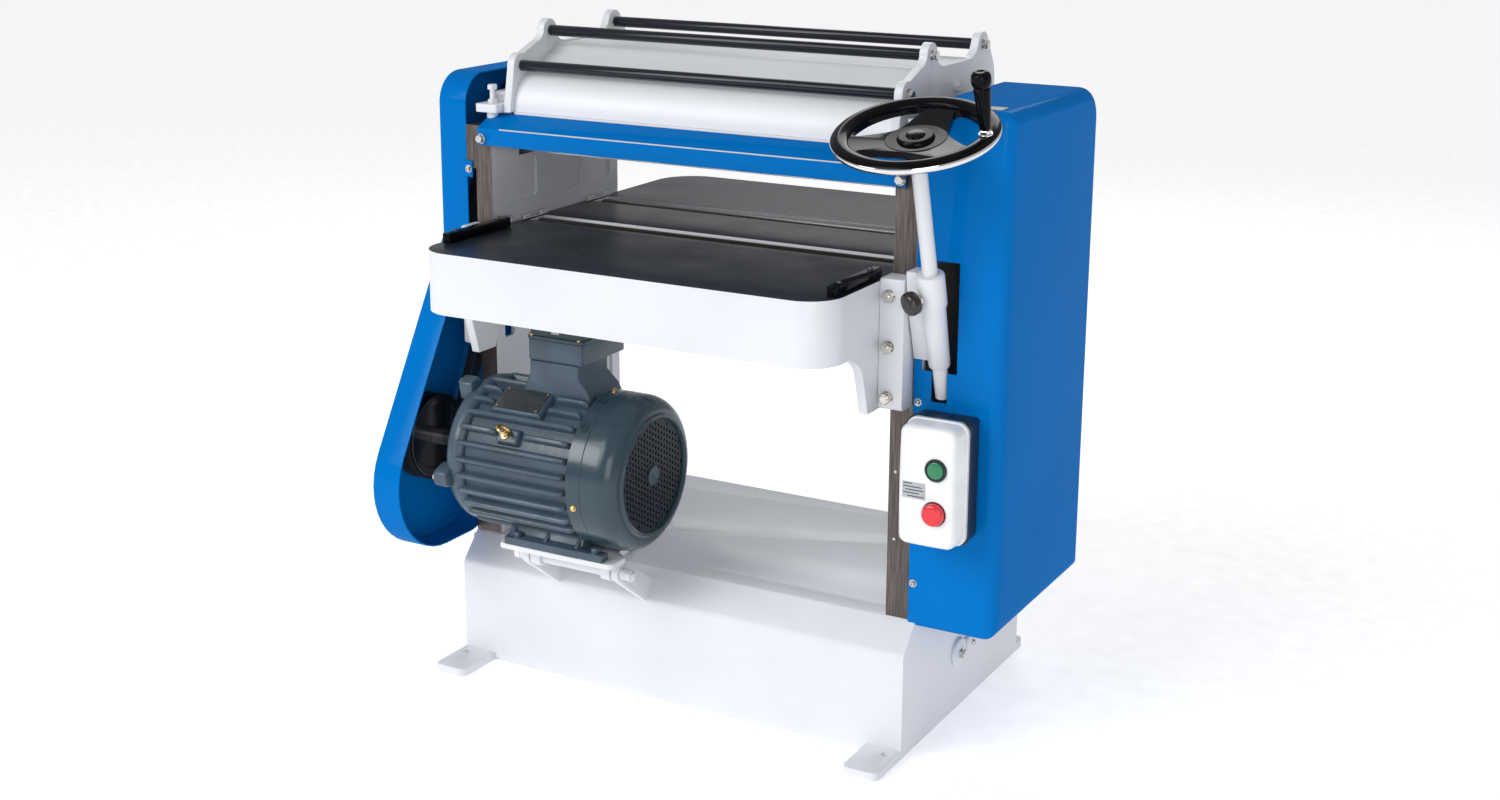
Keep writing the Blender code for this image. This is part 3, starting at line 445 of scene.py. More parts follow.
def hex_bolt(work, at, axis, size, turn=0.0, stem=0.0):
    """Add a hexagon bolt of a thread size, standing on its washers at a surface."""
    place = frame_at(at, axis) @ Matrix.Rotation(turn, 4, "Z")
    thick = size * 0.18
    disc(work, place, size * 1.05, 0, thick)
    disc(work, place, size * 0.80, thick, thick * 2.2)
    hexagon(work, place, size * 1.65, thick * 2.2, thick * 2.2 + size * 0.64)
    if stem:
        disc(work, place, size / 2, thick * 2.2 + size * 0.6, thick * 2.2 + size * 0.64 + stem)


def round_screw(work, at, axis, radius):
    """Add a round-headed screw with a sunk hexagon, on a thin washer."""
    place = frame_at(at, axis)
    disc(work, place, radius * 1.35, 0, radius * 0.16)
    segments = 24
    profile = [(0.16, 1.0), (0.55, 0.98), (0.85, 0.80), (0.98, 0.50)]
    rings = [
        [(radius * r * cos(2 * pi * s / segments), radius * r * sin(2 * pi * s / segments), radius * z)
         for s in range(segments)]
        for z, r in profile
    ]
    for z in (0.98, 0.55):
        ring = []
        for s in range(segments):
            a = 2 * pi * s / segments
            flat = cos(pi / 6) / cos((a + pi / 6) % (pi / 3) - pi / 6)
            ring.append((radius * 0.42 * flat * cos(a), radius * 0.42 * flat * sin(a), radius * z))
        rings.append(ring)
    skin(work, rings, place=place)


# ---------------------------------------------------------- base and frames
BOX = {node: span(node) for node in frame["nodes"]}
INNER = BOX["table"][1].x + 0.003          # half the clear width between the side frames
FRAME_OUT = BOX["right_side_frame"][1].x
FRAME_DEPTH = BOX["right_side_frame"][1].y
FRAME_TOP = BOX["right_side_frame"][1].z
BASE_TOP = BOX["right_side_frame"][0].z - GAP
BASE_KNEE = BASE_TOP - 0.0389
BASE_FRONT = -0.0366
BASE_REAR = 0.385
SHEET = 0.003
FOOT = (0.312, FRAME_OUT)
FOOT_HEIGHT = 0.012
ANCHOR_X = 0.349
SCREW_X = [pivot("screw_%s_front_spin" % hand)[0].x for hand in ("left", "right")]
SCREW_Y = [pivot("screw_left_%s_spin" % place)[0].y for place in ("front", "rear")]
SCREW_R = 0.008
HINGE = pivot("motor_tilt")[0]
HINGE_ROD = 0.008
LUG_X = (-0.196, -0.046)


def bend(points, radii, steps=5):
    """Round the inner points of an open line."""
    line = [points[0]]
    for here in range(1, len(points) - 1):
        before, at, after = (Vector(points[here + k]) for k in (-1, 0, 1))
        d1 = (at - before).normalized()
        d2 = (after - at).normalized()
        turn = atan2(d1.x * d2.y - d1.y * d2.x, d1.dot(d2))
        radius = radii[here - 1]
        first = at - d1 * radius * abs(tan(turn / 2))
        centre = first + Vector((-d1.y, d1.x)) * (radius if turn > 0 else -radius)
        spoke = first - centre
        for step in range(steps + 1):
            a = turn * step / steps
            line.append((
                centre.x + spoke.x * cos(a) - spoke.y * sin(a),
                centre.y + spoke.x * sin(a) + spoke.y * cos(a),
            ))
    line.append(points[-1])
    return line


def make_base():
    """Folded sheet base with rounded bends, anchor feet, hinge lugs and a chain tunnel."""
    corners = [(BASE_FRONT, 0), (BASE_REAR, 0), (BASE_REAR, BASE_TOP), (0, BASE_TOP), (BASE_FRONT, BASE_KNEE)]
    radii = [0.0005, 0.0005, 0.006, 0.005, 0.014]
    work = new()
    prism(work, rounded(corners, radii), "X", -FRAME_OUT, FRAME_OUT)
    base = solid("base_sheet", work)
    hollow = new()
    deep = rounded([(a, b - 0.01 if b == 0 else b) for a, b in corners], radii, SHEET)
    prism(hollow, deep, "X", SHEET - FRAME_OUT, FRAME_OUT - SHEET)
    tunnel = new()
    tunnel_y = (SCREW_Y[0] - 0.022, SCREW_Y[1] + 0.022)
    box(tunnel, (BOX["base"][0].x, -0.360), (tunnel_y[0] - SHEET, tunnel_y[1] + SHEET), (0.145, 0.1755))
    changes = [("UNION", tunnel)]
    for side in (-1, 1):
        for inner, outer in ((BASE_FRONT + 0.002, BOX["base"][0].y), (BASE_REAR - 0.002, BOX["base"][1].y)):
            foot = new()
            near, far = sorted((inner, outer))
            xs = sorted((side * FOOT[0], side * FOOT[1]))
            radius = 0.010
            outwards = [radius, radius, 0.0005, 0.0005] if outer < inner else [0.0005, 0.0005, radius, radius]
            prism(foot, rounded(rectangle(xs, (near, far)), outwards), "Z", 0, FOOT_HEIGHT)
            changes.append(("UNION", foot))
    for x in LUG_X:
        lug = new()
        profile = [
            (BASE_FRONT + 0.002, 0.1475), (BASE_FRONT + 0.002, BASE_KNEE + 0.001), (-0.012, 0.174),
            (HINGE.y + 0.010, HINGE.z + 0.0105), *arc((HINGE.y, HINGE.z), 0.0125, 60, 230, 16),
        ]
        prism(lug, profile, "X", x - 0.005, x + 0.005)
        changes.append(("UNION", lug))
    changes.append(("DIFFERENCE", hollow))
    inside = new()
    box(inside, (BOX["base"][0].x + SHEET, -0.350), tunnel_y, (0.148, 0.1725))
    changes.append(("DIFFERENCE", inside))
    holes = new()
    for y in SCREW_Y:
        for x in SCREW_X:
            turned(holes, (x, y, 0), (0, 0, 1), [(0.178, SCREW_R + 0.001), (0.200, SCREW_R + 0.001)], 24)
    across(holes, HINGE, [(-0.22, HINGE_ROD + GAP), (-0.02, HINGE_ROD + GAP)], 32)
    for x in (-ANCHOR_X, ANCHOR_X):
        for y in (-0.054, 0.400):
            turned(holes, (x, y, 0), (0, 0, 1), [(-0.01, 0.006), (0.02, 0.006)], 20)
    changes.append(("DIFFERENCE", holes))
    carve(base, *changes)
    soften(base, 0.0011, 2, 38)
    shown(base, "machine", WHITE, ["base"])


def make_side_frame(side):
    """Side casting with outer pocket, inner panels and machined front and top faces."""
    word = "left" if side < 0 else "right"
    work = new()
    box(work, sorted((side * INNER, side * FRAME_OUT)), (0, FRAME_DEPTH), (BASE_TOP + GAP, FRAME_TOP))
    casting = solid(word + "_casting", work)
    cuts = new()
    outside = side * 0.380
    wall = 0.006
    flange = 0.010
    pocket = rounded(rectangle((flange, FRAME_DEPTH - flange), (0.203, 0.700)), [0.006] * 4)
    prism(cuts, pocket, "X", *sorted((side * (INNER + wall), outside)))
    through = sorted((side * 0.310, outside))
    changes = [("DIFFERENCE", cuts)]
    slots = new()
    for y in SCREW_Y:
        prism(slots, rounded(rectangle((y - 0.012, y + 0.012), (0.490, 0.672)), [0.004] * 4), "X", *through)
    for joint in ("infeed_spin", "outfeed_spin"):
        y = pivot(joint)[0].y
        box(slots, through, (y - 0.022, y + 0.022), (0.757, 0.820))
    y = pivot("cutterblock_spin")[0].y
    box(slots, through, (y - 0.050, y + 0.050), (0.767, 0.820))
    changes.append(("DIFFERENCE", slots))
    bores = new()
    x = SCREW_X[0] if side < 0 else SCREW_X[1]
    for y in SCREW_Y:
        turned(bores, (x, y, 0), (0, 0, 1), [(0.180, SCREW_R + 0.0006), (0.724, SCREW_R + 0.0006)], 24)
    changes.append(("DIFFERENCE", bores))
    if side < 0:
        window = new()
        box(window, (-0.380, -0.348), (-0.010, 0.050), (0.203, 0.745))
        changes.append(("DIFFERENCE", window))
    panels = new()
    sunk = sorted((side * 0.310, side * (INNER + 0.0032)))
    posts = (0.018, 0.116, 0.236, FRAME_DEPTH - 0.018)
    for low, high in ((0.208, 0.484), (0.690, 0.752)):
        for near, far in zip(posts, posts[1:]):
            outline = rounded(rectangle((near + 0.004, far - 0.004), (low, high)), [0.008] * 4)
            prism(panels, outline, "X", *sunk)
    changes.append(("DIFFERENCE", panels))
    carve(casting, *changes)
    soften(casting, 0.0008, 2, 38)
    front = BOX["right_side_frame"][0].y + HOME.y
    top = FRAME_TOP + HOME.z
    shown(casting, "machine", [WHITE, FRAME_IRON], [word + "_side_frame"])
    for face in casting.data.polygons:
        faces_front = face.normal.y < -0.9 and face.center.y < front + 0.001
        faces_up = face.normal.z > 0.9 and face.center.z > top - 0.001
        if faces_front or faces_up:
            face.material_index = 1


def make_cross_pieces():
    """Folded blue cover across the front with a turned-up lip, and the rear tie."""
    work = new()
    line = bend([(-0.0085, 0.7815), (-0.0085, 0.8055), (0.0268, 0.8240)], [0.0015])
    back = bend([(-0.0070, 0.7815), (-0.0070, 0.8046), (0.0275, 0.8227)], [0.0030])
    prism(work, line + back[::-1], "X", -0.338, 0.338)
    cover = soften(solid("front_cover_sheet", work), 0.0004, 2, 50)
    shown(cover, "machine", BLUE, ["front_cross_cover"])
    work = new()
    # A thin pale strip along the cover's fold: a painted highlight where the bend catches the light
    strip = [(-0.00868, 0.80505), (-0.0083, 0.8048), (-0.0073, 0.80625), (-0.00745, 0.80655)]
    prism(work, strip, "X", -0.300, 0.337)
    piece("cover_fold_painted_highlight", work, "machine", PAINTED_FOLD_HIGHLIGHT)
    work = new()
    low, high = BOX["rear_cross_tie"]
    prism(
        work, rounded(rectangle((low.y, high.y), (low.z, high.z)), [0.001, 0.004, 0.004, 0.001]), "X", low.x,
        high.x,
    )
    tie = soften(solid("rear_tie", work), 0.0008)
    shown(tie, "machine", WHITE, ["rear_cross_tie"])
    work = new()
    for side in (-1, 1):
        hex_bolt(work, (side * 0.331, -0.0088, 0.791), (0, -1, 0), 0.007, 0.3)
        for z in (low.z + 0.009, high.z - 0.009):
            hex_bolt(work, (side * 0.342, high.y, z), (0, 1, 0), 0.007, 0.2)
    piece("cross_piece_bolts", work, "machine", ZINC)


# -------------------------------------------------------------------- covers
COVER_FACE = BOX["right_gear_cover"][0].x
COVER_FRONT = BOX["right_gear_cover"][0].y
COVER_SHEET = 0.002
GUARD_FACE = BOX["left_belt_guard"][1].x
GUARD_SIDE = BOX["left_belt_guard"][0].x
COVER_SIDE = BOX["right_gear_cover"][1].x
TAB_Z = (0.738, 0.497, 0.243)
HUB, WHEEL_AXIS = pivot("handwheel_spin")
WHEEL_AXIS = -WHEEL_AXIS
LEAN = atan2(-WHEEL_AXIS.y, WHEEL_AXIS.z)


def shell(work, corners, radii, opened, closed, wall, edge, steps=10):
    """Add a sheet cover lying in the YZ plane, open at one X level and closed at the other."""
    way = 1 if closed > opened else -1
    quarter = [pi / 2 * step / 6 for step in range(7)]
    inner_edge = edge - wall
    rings = []
    for a in reversed(quarter):
        level = closed - way * (wall + inner_edge * (1 - sin(a)))
        rings.append(lift(rounded(corners, radii, wall + inner_edge * (1 - cos(a)), steps), "X", level))
    rings.append(lift(rounded(corners, radii, wall, steps), "X", opened))
    rings.append(lift(rounded(corners, radii, 0, steps), "X", opened))
    for a in quarter:
        level = closed - way * edge * (1 - sin(a))
        rings.append(lift(rounded(corners, radii, edge * (1 - cos(a)), steps), "X", level))
    skin(work, rings)


def make_belt_guard():
    """Left guard: a box at the top, and a leg that follows the belts to a round end."""
    slope = tan(radians(30))
    corners = [
        (-(0.642 - 0.190) * slope, 0.190), (0.320 - (0.716 - 0.190) * slope, 0.190),
        (0.320, 0.716), (0.320, 0.880), (0, 0.880), (0, 0.642),
    ]
    work = new()
    shell(
        work, corners, [0.106, 0.060, 0.010, 0.020, 0.045, 0.008], GUARD_FACE, GUARD_SIDE, COVER_SHEET, 0.006,
        14,
    )
    guard = solid("belt_guard_sheet", work)
    shown(guard, "machine", BLUE, ["left_belt_guard"])
    work = new()
    box(work, (-0.3700, -0.3535), (-0.0021, -GAP), (0.7315, 0.7555))
    tab = soften(solid("belt_guard_tab", work), 0.0006)
    shown(tab, "machine", BLUE)
    work = new()
    round_screw(work, (-0.3600, -0.0021, 0.7435), (0, -1, 0), 0.0042)
    piece("belt_guard_screws", work, "machine", ZINC)


def make_gear_cover():
    """Right cover: a sheet box with a broad bend, three tabs and an opening for the bracket."""
    corners = [(COVER_FRONT, 0.182), (0.321, 0.182), (0.321, 0.887), (COVER_FRONT, 0.887)]
    work = new()
    shell(work, corners, [0.006, 0.012, 0.045, 0.014], COVER_FACE, COVER_SIDE, COVER_SHEET, 0.018, 10)
    cover = solid("gear_cover_sheet", work)
    changes = []
    for z in TAB_Z:
        tab = new()
        box(tab, (0.354, 0.370), (COVER_FRONT, -GAP), (z - 0.012, z + 0.012))
        changes.append(("UNION", tab))
    window = new()
    box(window, (0.3645, 0.4145), (-0.010, 0.010), (0.541, 0.689))
    changes.append(("DIFFERENCE", window))
    slot = new()
    box(slot, (HUB.x - 0.0112, HUB.x + 0.0112), (-0.010, 0.010), (0.500, 0.545))
    changes.append(("DIFFERENCE", slot))
    carve(cover, *changes)
    shown(cover, "machine", BLUE, ["right_gear_cover"])
    work = new()
    for z in TAB_Z:
        round_screw(work, (0.3605, COVER_FRONT, z), (0, -1, 0), 0.0040)
    piece("gear_cover_screws", work, "machine", ZINC)


# ---------------------------------------------------------------------- hood
RETURNS = {word: pivot(word + "_return_spin")[0] for word in ("front", "middle", "rear")}
PLATE_X = (BOX["hood_right_plate"][0].x, BOX["hood_right_plate"][1].x)
RETURN_R = 0.008


def hood_outline():
    """Side plate seen from the right: three lobes that carry the return rollers."""
    front, middle, rear = ((RETURNS[word].y, RETURNS[word].z) for word in ("front", "middle", "rear"))
    back = arc((0.290, 0.880), 0.056, -40, 35, 16)
    lobes = arc(rear, 0.018, 20, 150, 18) + arc((0.255, 0.948), 0.030, -30, -90, 10)
    lobes += arc((0.165, 0.948), 0.030, -90, -150, 10) + arc(middle, 0.017, 20, 170, 18)
    lobes += arc((0.088, 0.944), 0.022, -20, -80, 10) + arc(front, 0.018, 70, 185, 18)
    return [(0.020, 0.8268), (0.330, 0.8268)] + back + lobes


def bent_sheet(work, line, half, thick):
    """Add a line in the YZ plane, thickened downwards and drawn across the machine."""
    under = []
    for here in range(len(line)):
        before = Vector(line[max(here - 1, 0)])
        after = Vector(line[min(here + 1, len(line) - 1)])
        along = (after - before).normalized()
        under.append((line[here][0] + along.y * thick, line[here][1] - along.x * thick))
    prism(work, list(line) + under[::-1], "X", -half, half)


def make_hood():
    """Side plates, the two bent chip covers, the return rollers and their bolts."""
    cutter = pivot("cutterblock_spin")[0]
    for side, word in ((-1, "left"), (1, "right")):
        work = new()
        prism(work, hood_outline(), "X", *sorted(side * x for x in PLATE_X))
        plate = solid("hood_%s_side" % word, work)
        relief = new()
        turned(relief, (side * 0.306, cutter.y, cutter.z), (1, 0, 0), [(-0.02, 0.053), (0.02, 0.053)], 64)
        carve(plate, ("DIFFERENCE", relief))
        soften(plate, 0.0010, 3, 35)
        shown(plate, "machine", WHITE, ["hood_%s_plate" % word])
    half = PLATE_X[0] - 0.0005
    front = [(0.0295, 0.8275), *arc((0.086, 0.830), 0.056, 178, 118, 26), (0.098, 0.892), (0.118, 0.903)]
    rear = [
        *bend([(0.1215, 0.902), (0.140, 0.916), (0.285, 0.916)], [0.012]),
        *arc((0.285, 0.870), 0.046, 80, 0, 20),
    ]
    for word, line in (("front", front), ("rear", rear)):
        work = new()
        bent_sheet(work, line, half, 0.002)
        sheet = solid("chip_sheet_" + word, work, 30)
        shown(sheet, "machine", WHITE, ["chip_cover_" + word])
    work = new()
    box(work, (-half, half), (0.0283, 0.0305), (0.8236, 0.8272))
    piece("chip_cover_hem", work, "machine", WHITE, edge=0.0004)
    for word, at in RETURNS.items():
        work = new()
        profile = [
            (-half, 0.0), (-half, 0.0062), (0.0012 - half, RETURN_R - 0.0003), (0.002 - half, RETURN_R),
        ]
        profile += [(-along, radius) for along, radius in reversed(profile)]
        across(work, at, [(a, max(r, 0.001)) for a, r in profile], 40)
        piece(
            "return_bar_" + word, work, word + "_return", BLACK_STEEL,
            ["return_roller_" + word],
        )
    work = new()
    zinc = new()
    for side in (-1, 1):
        face = side * PLATE_X[1]
        for at in RETURNS.values():
            hex_bolt(zinc, (face, at.y, at.z), (side, 0, 0), 0.0078, 0.4)
        for y, z in ((0.085, 0.866), (0.205, 0.885), (0.300, 0.862)):
            hex_bolt(work, (face, y, z), (side, 0, 0), 0.0070, 0.2)
    piece("hood_bolts", work, "machine", WHITE)
    piece("return_roller_bolts", zinc, "machine", ZINC)


# ---------------------------------------------------------------- cutterblock
CUTTER = pivot("cutterblock_spin")[0]
CUTTER_R = 0.050
CUT_PLANE = CUTTER.z - CUTTER_R
BELT_X = [(BOX["drive_belt_%d" % n][0].x + BOX["drive_belt_%d" % n][1].x) / 2 for n in (1, 2)]
BELT_WIDTH = 0.010
BELT_THICK = 0.008
MOTOR_PULLEY_R = 0.058
CUTTER_PULLEY_R = 0.0345
MOTOR = pivot("motor_spin")[0]
CHAIN_PITCH = 0.0095             # wanted pitch; a chain takes the nearest that closes


def spun(outline, angle):
    """Turn an outline about its own origin."""
    return [(a * cos(angle) - b * sin(angle), a * sin(angle) + b * cos(angle)) for a, b in outline]


def make_cutterblock():
    """Knives, wedges and their screws in the block, and its grooved pulley."""
    low, high = BOX["cutterhead"]
    work = new()
    profile = [
        (low.x, 0.0110), (low.x + 0.0015, 0.0125), (-0.366, 0.0125), (-0.366, 0.016), (-0.312, 0.016),
        (-0.312, 0.024), (-0.305, 0.024), (-0.305, CUTTER_R - 0.001), (-0.304, CUTTER_R),
        (0.304, CUTTER_R), (0.305, CUTTER_R - 0.001), (0.305, 0.024), (0.312, 0.024), (0.312, 0.016),
        (0.366, 0.016), (0.366, 0.0125), (high.x, 0.0125),
    ]
    across(work, CUTTER, profile, 64)
    block = solid("cutter_block", work)
    pockets = new()
    for number in range(3):
        outline = spun(rectangle((-0.008, 0.010), (0.036, 0.060)), radians(40 + 120 * number))
        prism(pockets, [(CUTTER.y + a, CUTTER.z + b) for a, b in outline], "X", -0.310, 0.310)
    carve(block, ("DIFFERENCE", pockets))
    shown(block, "cutterblock", STEEL, ["cutterhead"])
    work = new()
    screws = new()
    for number in range(3):
        angle = radians(40 + 120 * number)
        for xs, ys in (((-0.0078, -0.0046), (0.0362, 0.0492)), ((-0.0044, 0.0052), (0.0362, 0.0455))):
            outline = [(CUTTER.y + a, CUTTER.z + b) for a, b in spun(rectangle(xs, ys), angle)]
            prism(work, outline, "X", -0.304, 0.304)
        for step in range(9):
            out = Vector((0, -sin(angle), cos(angle)))
            side = Vector((0, cos(angle), sin(angle)))
            at = Vector((-0.272 + 0.068 * step, CUTTER.y, CUTTER.z)) + out * 0.0455 + side * 0.0004
            hexagon(screws, frame_at(at, out), 0.0070, 0.0, 0.0030)
    piece("knives_and_wedges", work, "cutterblock", CHROME)
    piece("wedge_screws", screws, "cutterblock", ZINC)


def make_pulley(name, at, radius, bore, body, node):
    """A pulley with one groove under each belt, a rebated face and a hub."""
    left = min(BELT_X) - 0.0085
    right = max(BELT_X) + 0.0085
    rim = radius + BELT_THICK * 0.5
    floor = radius - 0.0016
    profile = [
        (left + 0.004, bore), (left + 0.004, bore + 0.008), (left + 0.0045, radius - 0.010),
        (left, radius - 0.008), (left, rim - 0.001), (left + 0.001, rim),
    ]
    for x in sorted(BELT_X):
        half = BELT_WIDTH / 2 + GAP
        profile += [(x - half, rim), (x - half + 0.0008, floor), (x + half - 0.0008, floor), (x + half, rim)]
    profile += [
        (right - 0.001, rim), (right, rim - 0.001), (right, radius - 0.008), (right - 0.0045, radius - 0.010),
        (right - 0.004, bore + 0.008), (right - 0.004, bore),
    ]
    work = new()
    across(work, at, profile, 72, "looped")
    piece(name, work, body, BLACK_STEEL, [node])


def wrap(centres, radii, grow, steps):
    """The closed line that runs round several wheels, listed anticlockwise."""
    found = []
    count = len(centres)
    leave = []
    for here in range(count):
        away = Vector(centres[(here + 1) % count]) - Vector(centres[here])
        lean = (radii[here] - radii[(here + 1) % count]) / away.length
        leave.append(atan2(away.y, away.x) - pi / 2 + atan2(lean, sqrt(1 - lean * lean)))
    for here in range(count):
        start, end = leave[here - 1], leave[here]
        while end < start:
            end += 2 * pi
        radius = radii[here] + grow
        for step in range(steps + 1):
            a = start + (end - start) * step / steps
            found.append((centres[here][0] + radius * cos(a), centres[here][1] + radius * sin(a)))
    return found


def make_belts():
    """Two belts of trapezoidal section round the motor and cutterblock pulleys, fixed to no body."""
    centres = [(MOTOR.y, MOTOR.z), (CUTTER.y, CUTTER.z)]
    radii = [MOTOR_PULLEY_R, CUTTER_PULLEY_R]
    inner = wrap(centres, radii, 0.0006, 40)
    outer = wrap(centres, radii, BELT_THICK - GAP, 40)
    ahead = (Vector(centres[0]) - Vector(centres[1])).normalized()
    start = Vector(centres[1]) + ahead * 0.055
    end = Vector(centres[0]) - ahead * 0.080
    for number, x in enumerate(BELT_X, 1):
        half = BELT_WIDTH / 2
        work = new()
        rings = [
            lift(inner, "X", x - half + 0.0016), lift(inner, "X", x + half - 0.0016),
            lift(outer, "X", x + half), lift(outer, "X", x - half),
        ]
        skin(work, rings, "looped")
        follow = ("motor_base", (0, start.x, start.y), (0, end.x, end.y))
        piece("v_belt_%d" % number, work, "machine", RUBBER, ["drive_belt_%d" % number], follow)


def walk(line):
    """Points of a closed line with the distance travelled to each."""
    points = [Vector(p) for p in line]
    points.append(points[0])
    run = [0.0]
    for a, b in zip(points, points[1:]):
        run.append(run[-1] + (b - a).length)
    return points, run


def point_along(points, run, distance):
    """The point at a distance along a line."""
    distance %= run[-1]
    for here in range(len(run) - 1):
        if run[here + 1] >= distance:
            share = (distance - run[here]) / (run[here + 1] - run[here])
            return points[here].lerp(points[here + 1], share)
    return points[-1]


def make_chain(name, node, line, axis, low, high, height, follow=None):
    """A roller chain along a closed line: rollers joined by inner and outer plates."""
    points, run = walk(line)
    links = 2 * round(run[-1] / CHAIN_PITCH / 2)
    pitch = run[-1] / links
    way = {"X": Vector((1, 0, 0)), "Z": Vector((0, 0, 1))}[axis]

    def spot(point, level):
        return Vector(lift([point], axis, level)[0])

    work = new()
    for link in range(links):
        here = point_along(points, run, link * pitch)
        after = point_along(points, run, (link + 1) * pitch)
        place = frame_at(spot(here, low), way)
        disc(work, place, height * 0.30, 0.0014, high - low - 0.0014, 10)
        middle = (here + after) / 2
        ahead = (after - here).normalized() * (pitch / 2 + height * 0.36)
        side = Vector((-ahead.y, ahead.x)).normalized() * height / 2
        waist = side * 0.62
        outline = [
            middle - ahead * 0.96 - side * 0.6, middle - ahead * 0.72 - side, middle - waist,
            middle + ahead * 0.72 - side, middle + ahead * 0.96 - side * 0.6,
            middle + ahead * 0.96 + side * 0.6, middle + ahead * 0.72 + side, middle + waist,
            middle - ahead * 0.72 + side, middle - ahead * 0.96 + side * 0.6,
        ]
        tuck = 0.0 if link % 2 else 0.0007
        for start in (low + tuck, high - tuck - 0.0006):
            rings = [[spot(p, level) for p in outline] for level in (start, start + 0.0006)]
            skin(work, rings)
    piece(name, work, "machine", CHAIN_STEEL, [node], follow)


def make_chains():
    """The feed chain beside the right frame and the lift chain under it."""
    infeed = pivot("infeed_spin")[0]
    outfeed = pivot("outfeed_spin")[0]
    radius = 0.0225
    centres = [(CUTTER.y, 0.690), (outfeed.y, outfeed.z), (infeed.y, infeed.z)]
    thick = 0.0034
    low, high = BOX["feed_chain"]
    follow = ("infeed_carrier", (0, infeed.y + 0.060, infeed.z), (0, infeed.y + 0.028, infeed.z))
    line = wrap(centres, [radius] * 3, GAP + thick / 2, 16)
    make_chain("feed_roller_chain", "feed_chain", line, "X", low.x, high.x, thick, follow)
    centres = [
        (SCREW_X[0], SCREW_Y[0]), (SCREW_X[1], SCREW_Y[0]), (SCREW_X[1], SCREW_Y[1]),
        (SCREW_X[0], SCREW_Y[1]),
    ]
    low, high = BOX["lift_chain"]
    make_chain(
        "lift_roller_chain", "lift_chain", wrap(centres, [0.0155] * 4, GAP + thick / 2, 10), "Z", low.z,
        high.z, thick,
    )


# ---------------------------------------------------------------- feed works
FEED_R = 0.030


def make_feed_rollers():
    """Fluted infeed roller, plain outfeed roller and their chain wheels."""
    flutes = 36
    for word in ("infeed", "outfeed"):
        at = pivot(word + "_spin")[0]
        low, high = BOX[word + "_roller"]
        work = new()
        ends = [
            (low.x, 0.0115), (low.x + 0.001, 0.0125), (-0.314, 0.0125), (-0.314, 0.018), (-0.3085, 0.018),
            (-0.3085, 0.027),
        ]
        wheel = [
            (0.4015, 0.0125), (0.4015, 0.020), (0.4030, 0.0222), (0.4080, 0.0222), (0.4095, 0.020),
            (0.4095, 0.0125), (high.x, 0.0125),
        ]
        right = [(0.3085, 0.027), (0.3085, 0.018), (0.314, 0.018), (0.314, 0.0125)]
        if word == "outfeed":
            across(work, at, ends + [(-0.3075, FEED_R), (0.3075, FEED_R)] + right + wheel, 64)
        else:
            across(work, at, ends + right + wheel, 48)
            rings = []
            for step in range(41):
                x = -0.3083 + 0.6166 * step / 40
                twist = 0.9 * step / 40
                ring = []
                for flute in range(flutes):
                    for offset, radius in (
                        (0.0, FEED_R), (0.22, FEED_R), (0.48, FEED_R - 0.0026), (0.78, FEED_R - 0.0026),
                    ):
                        a = 2 * pi * (flute + offset) / flutes + twist
                        ring.append((x, at.y + radius * cos(a), at.z + radius * sin(a)))
                rings.append(ring)
            skin(work, rings)
        piece(word + "_feed_roller", work, word, STEEL, [word + "_roller"], smooth=25)


def make_pressure_pieces():
    """Chip breaker ahead of the cutterblock and pressure bar behind it."""
    low = CUT_PLANE + 0.002
    lines = {
        "chip_breaker": [
            (0.121, low), (0.150, low), (0.146, low + 0.004), (0.130, low + 0.018), (0.124, low + 0.018),
        ],
        "pressure_bar": [
            (0.202, low), (0.231, low), (0.228, low + 0.018), (0.222, low + 0.018), (0.206, low + 0.004),
        ],
    }
    for name, line in lines.items():
        work = new()
        prism(work, line, "X", -INNER + 0.0005, INNER - 0.0005)
        shown(soften(solid(name, work), 0.0007, 2, 25), "machine", FRAME_IRON)


def make_springs():
    """A bridge over each feed block with its pressure screw and spring, and the front adjusters."""
    white = new()
    zinc = new()
    bridge = 0.8425
    seat = BOX["infeed_block_left"][1].z + 0.0004
    for word in ("infeed", "outfeed"):
        y = pivot(word + "_spin")[0].y
        springs = new()
        for side in (-1, 1):
            x = side * 0.342
            for near in (-0.031, 0.031):
                ys = (y + near - 0.005, y + near + 0.005)
                box(white, (x - 0.014, x + 0.014), ys, (FRAME_TOP + GAP, bridge + 0.001))
            box(white, (x - 0.014, x + 0.014), (y - 0.036, y + 0.036), (bridge, 0.8505))
            coil(springs, Vector((x, y, seat + 0.0011)), 0.0075, 0.0011, bridge - seat - 0.0024, 4)
            place = frame_at((x, y, 0.8505), (0, 0, 1))
            disc(zinc, place, 0.0085, 0, 0.0012)
            hexagon(zinc, place, 0.0125, 0.0012, 0.0060)
            disc(zinc, place, 0.0036, 0.0060, 0.0125, edge=0.0008)
        item = piece(word + "_springs", springs, "machine", ZINC, smooth=60)
        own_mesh(item)
    bridges = soften(solid("feed_spring_bridges", white), 0.0009)
    shown(bridges, "machine", WHITE)
    piece("feed_pressure_screws", zinc, "machine", ZINC)
    lugs = new()
    for side in (-1, 1):
        x = side * 0.3325
        outline = rounded(rectangle(sorted((side * 0.3135, side * 0.352)), (0.006, 0.040)), [0.004] * 4)
        prism(lugs, outline, "Z", 0.8265, 0.8385)
        turned(lugs, (x, 0.023, 0), (0, 0, 1), [(FRAME_TOP + GAP, 0.0088), (0.8268, 0.0088)], 24)
    piece("adjuster_lugs", lugs, "machine", WHITE, edge=0.0010)
    screws = new()
    for side in (-1, 1):
        place = frame_at((side * 0.3325, 0.023, 0.8385), (0, 0, 1))
        hexagon(screws, place, 0.0130, 0, 0.0058)
        disc(screws, place, 0.0040, 0.0058, 0.0200)
        hexagon(screws, place, 0.0130, 0.0200, 0.0270)
    piece("adjuster_screws", screws, "machine", WHITE)


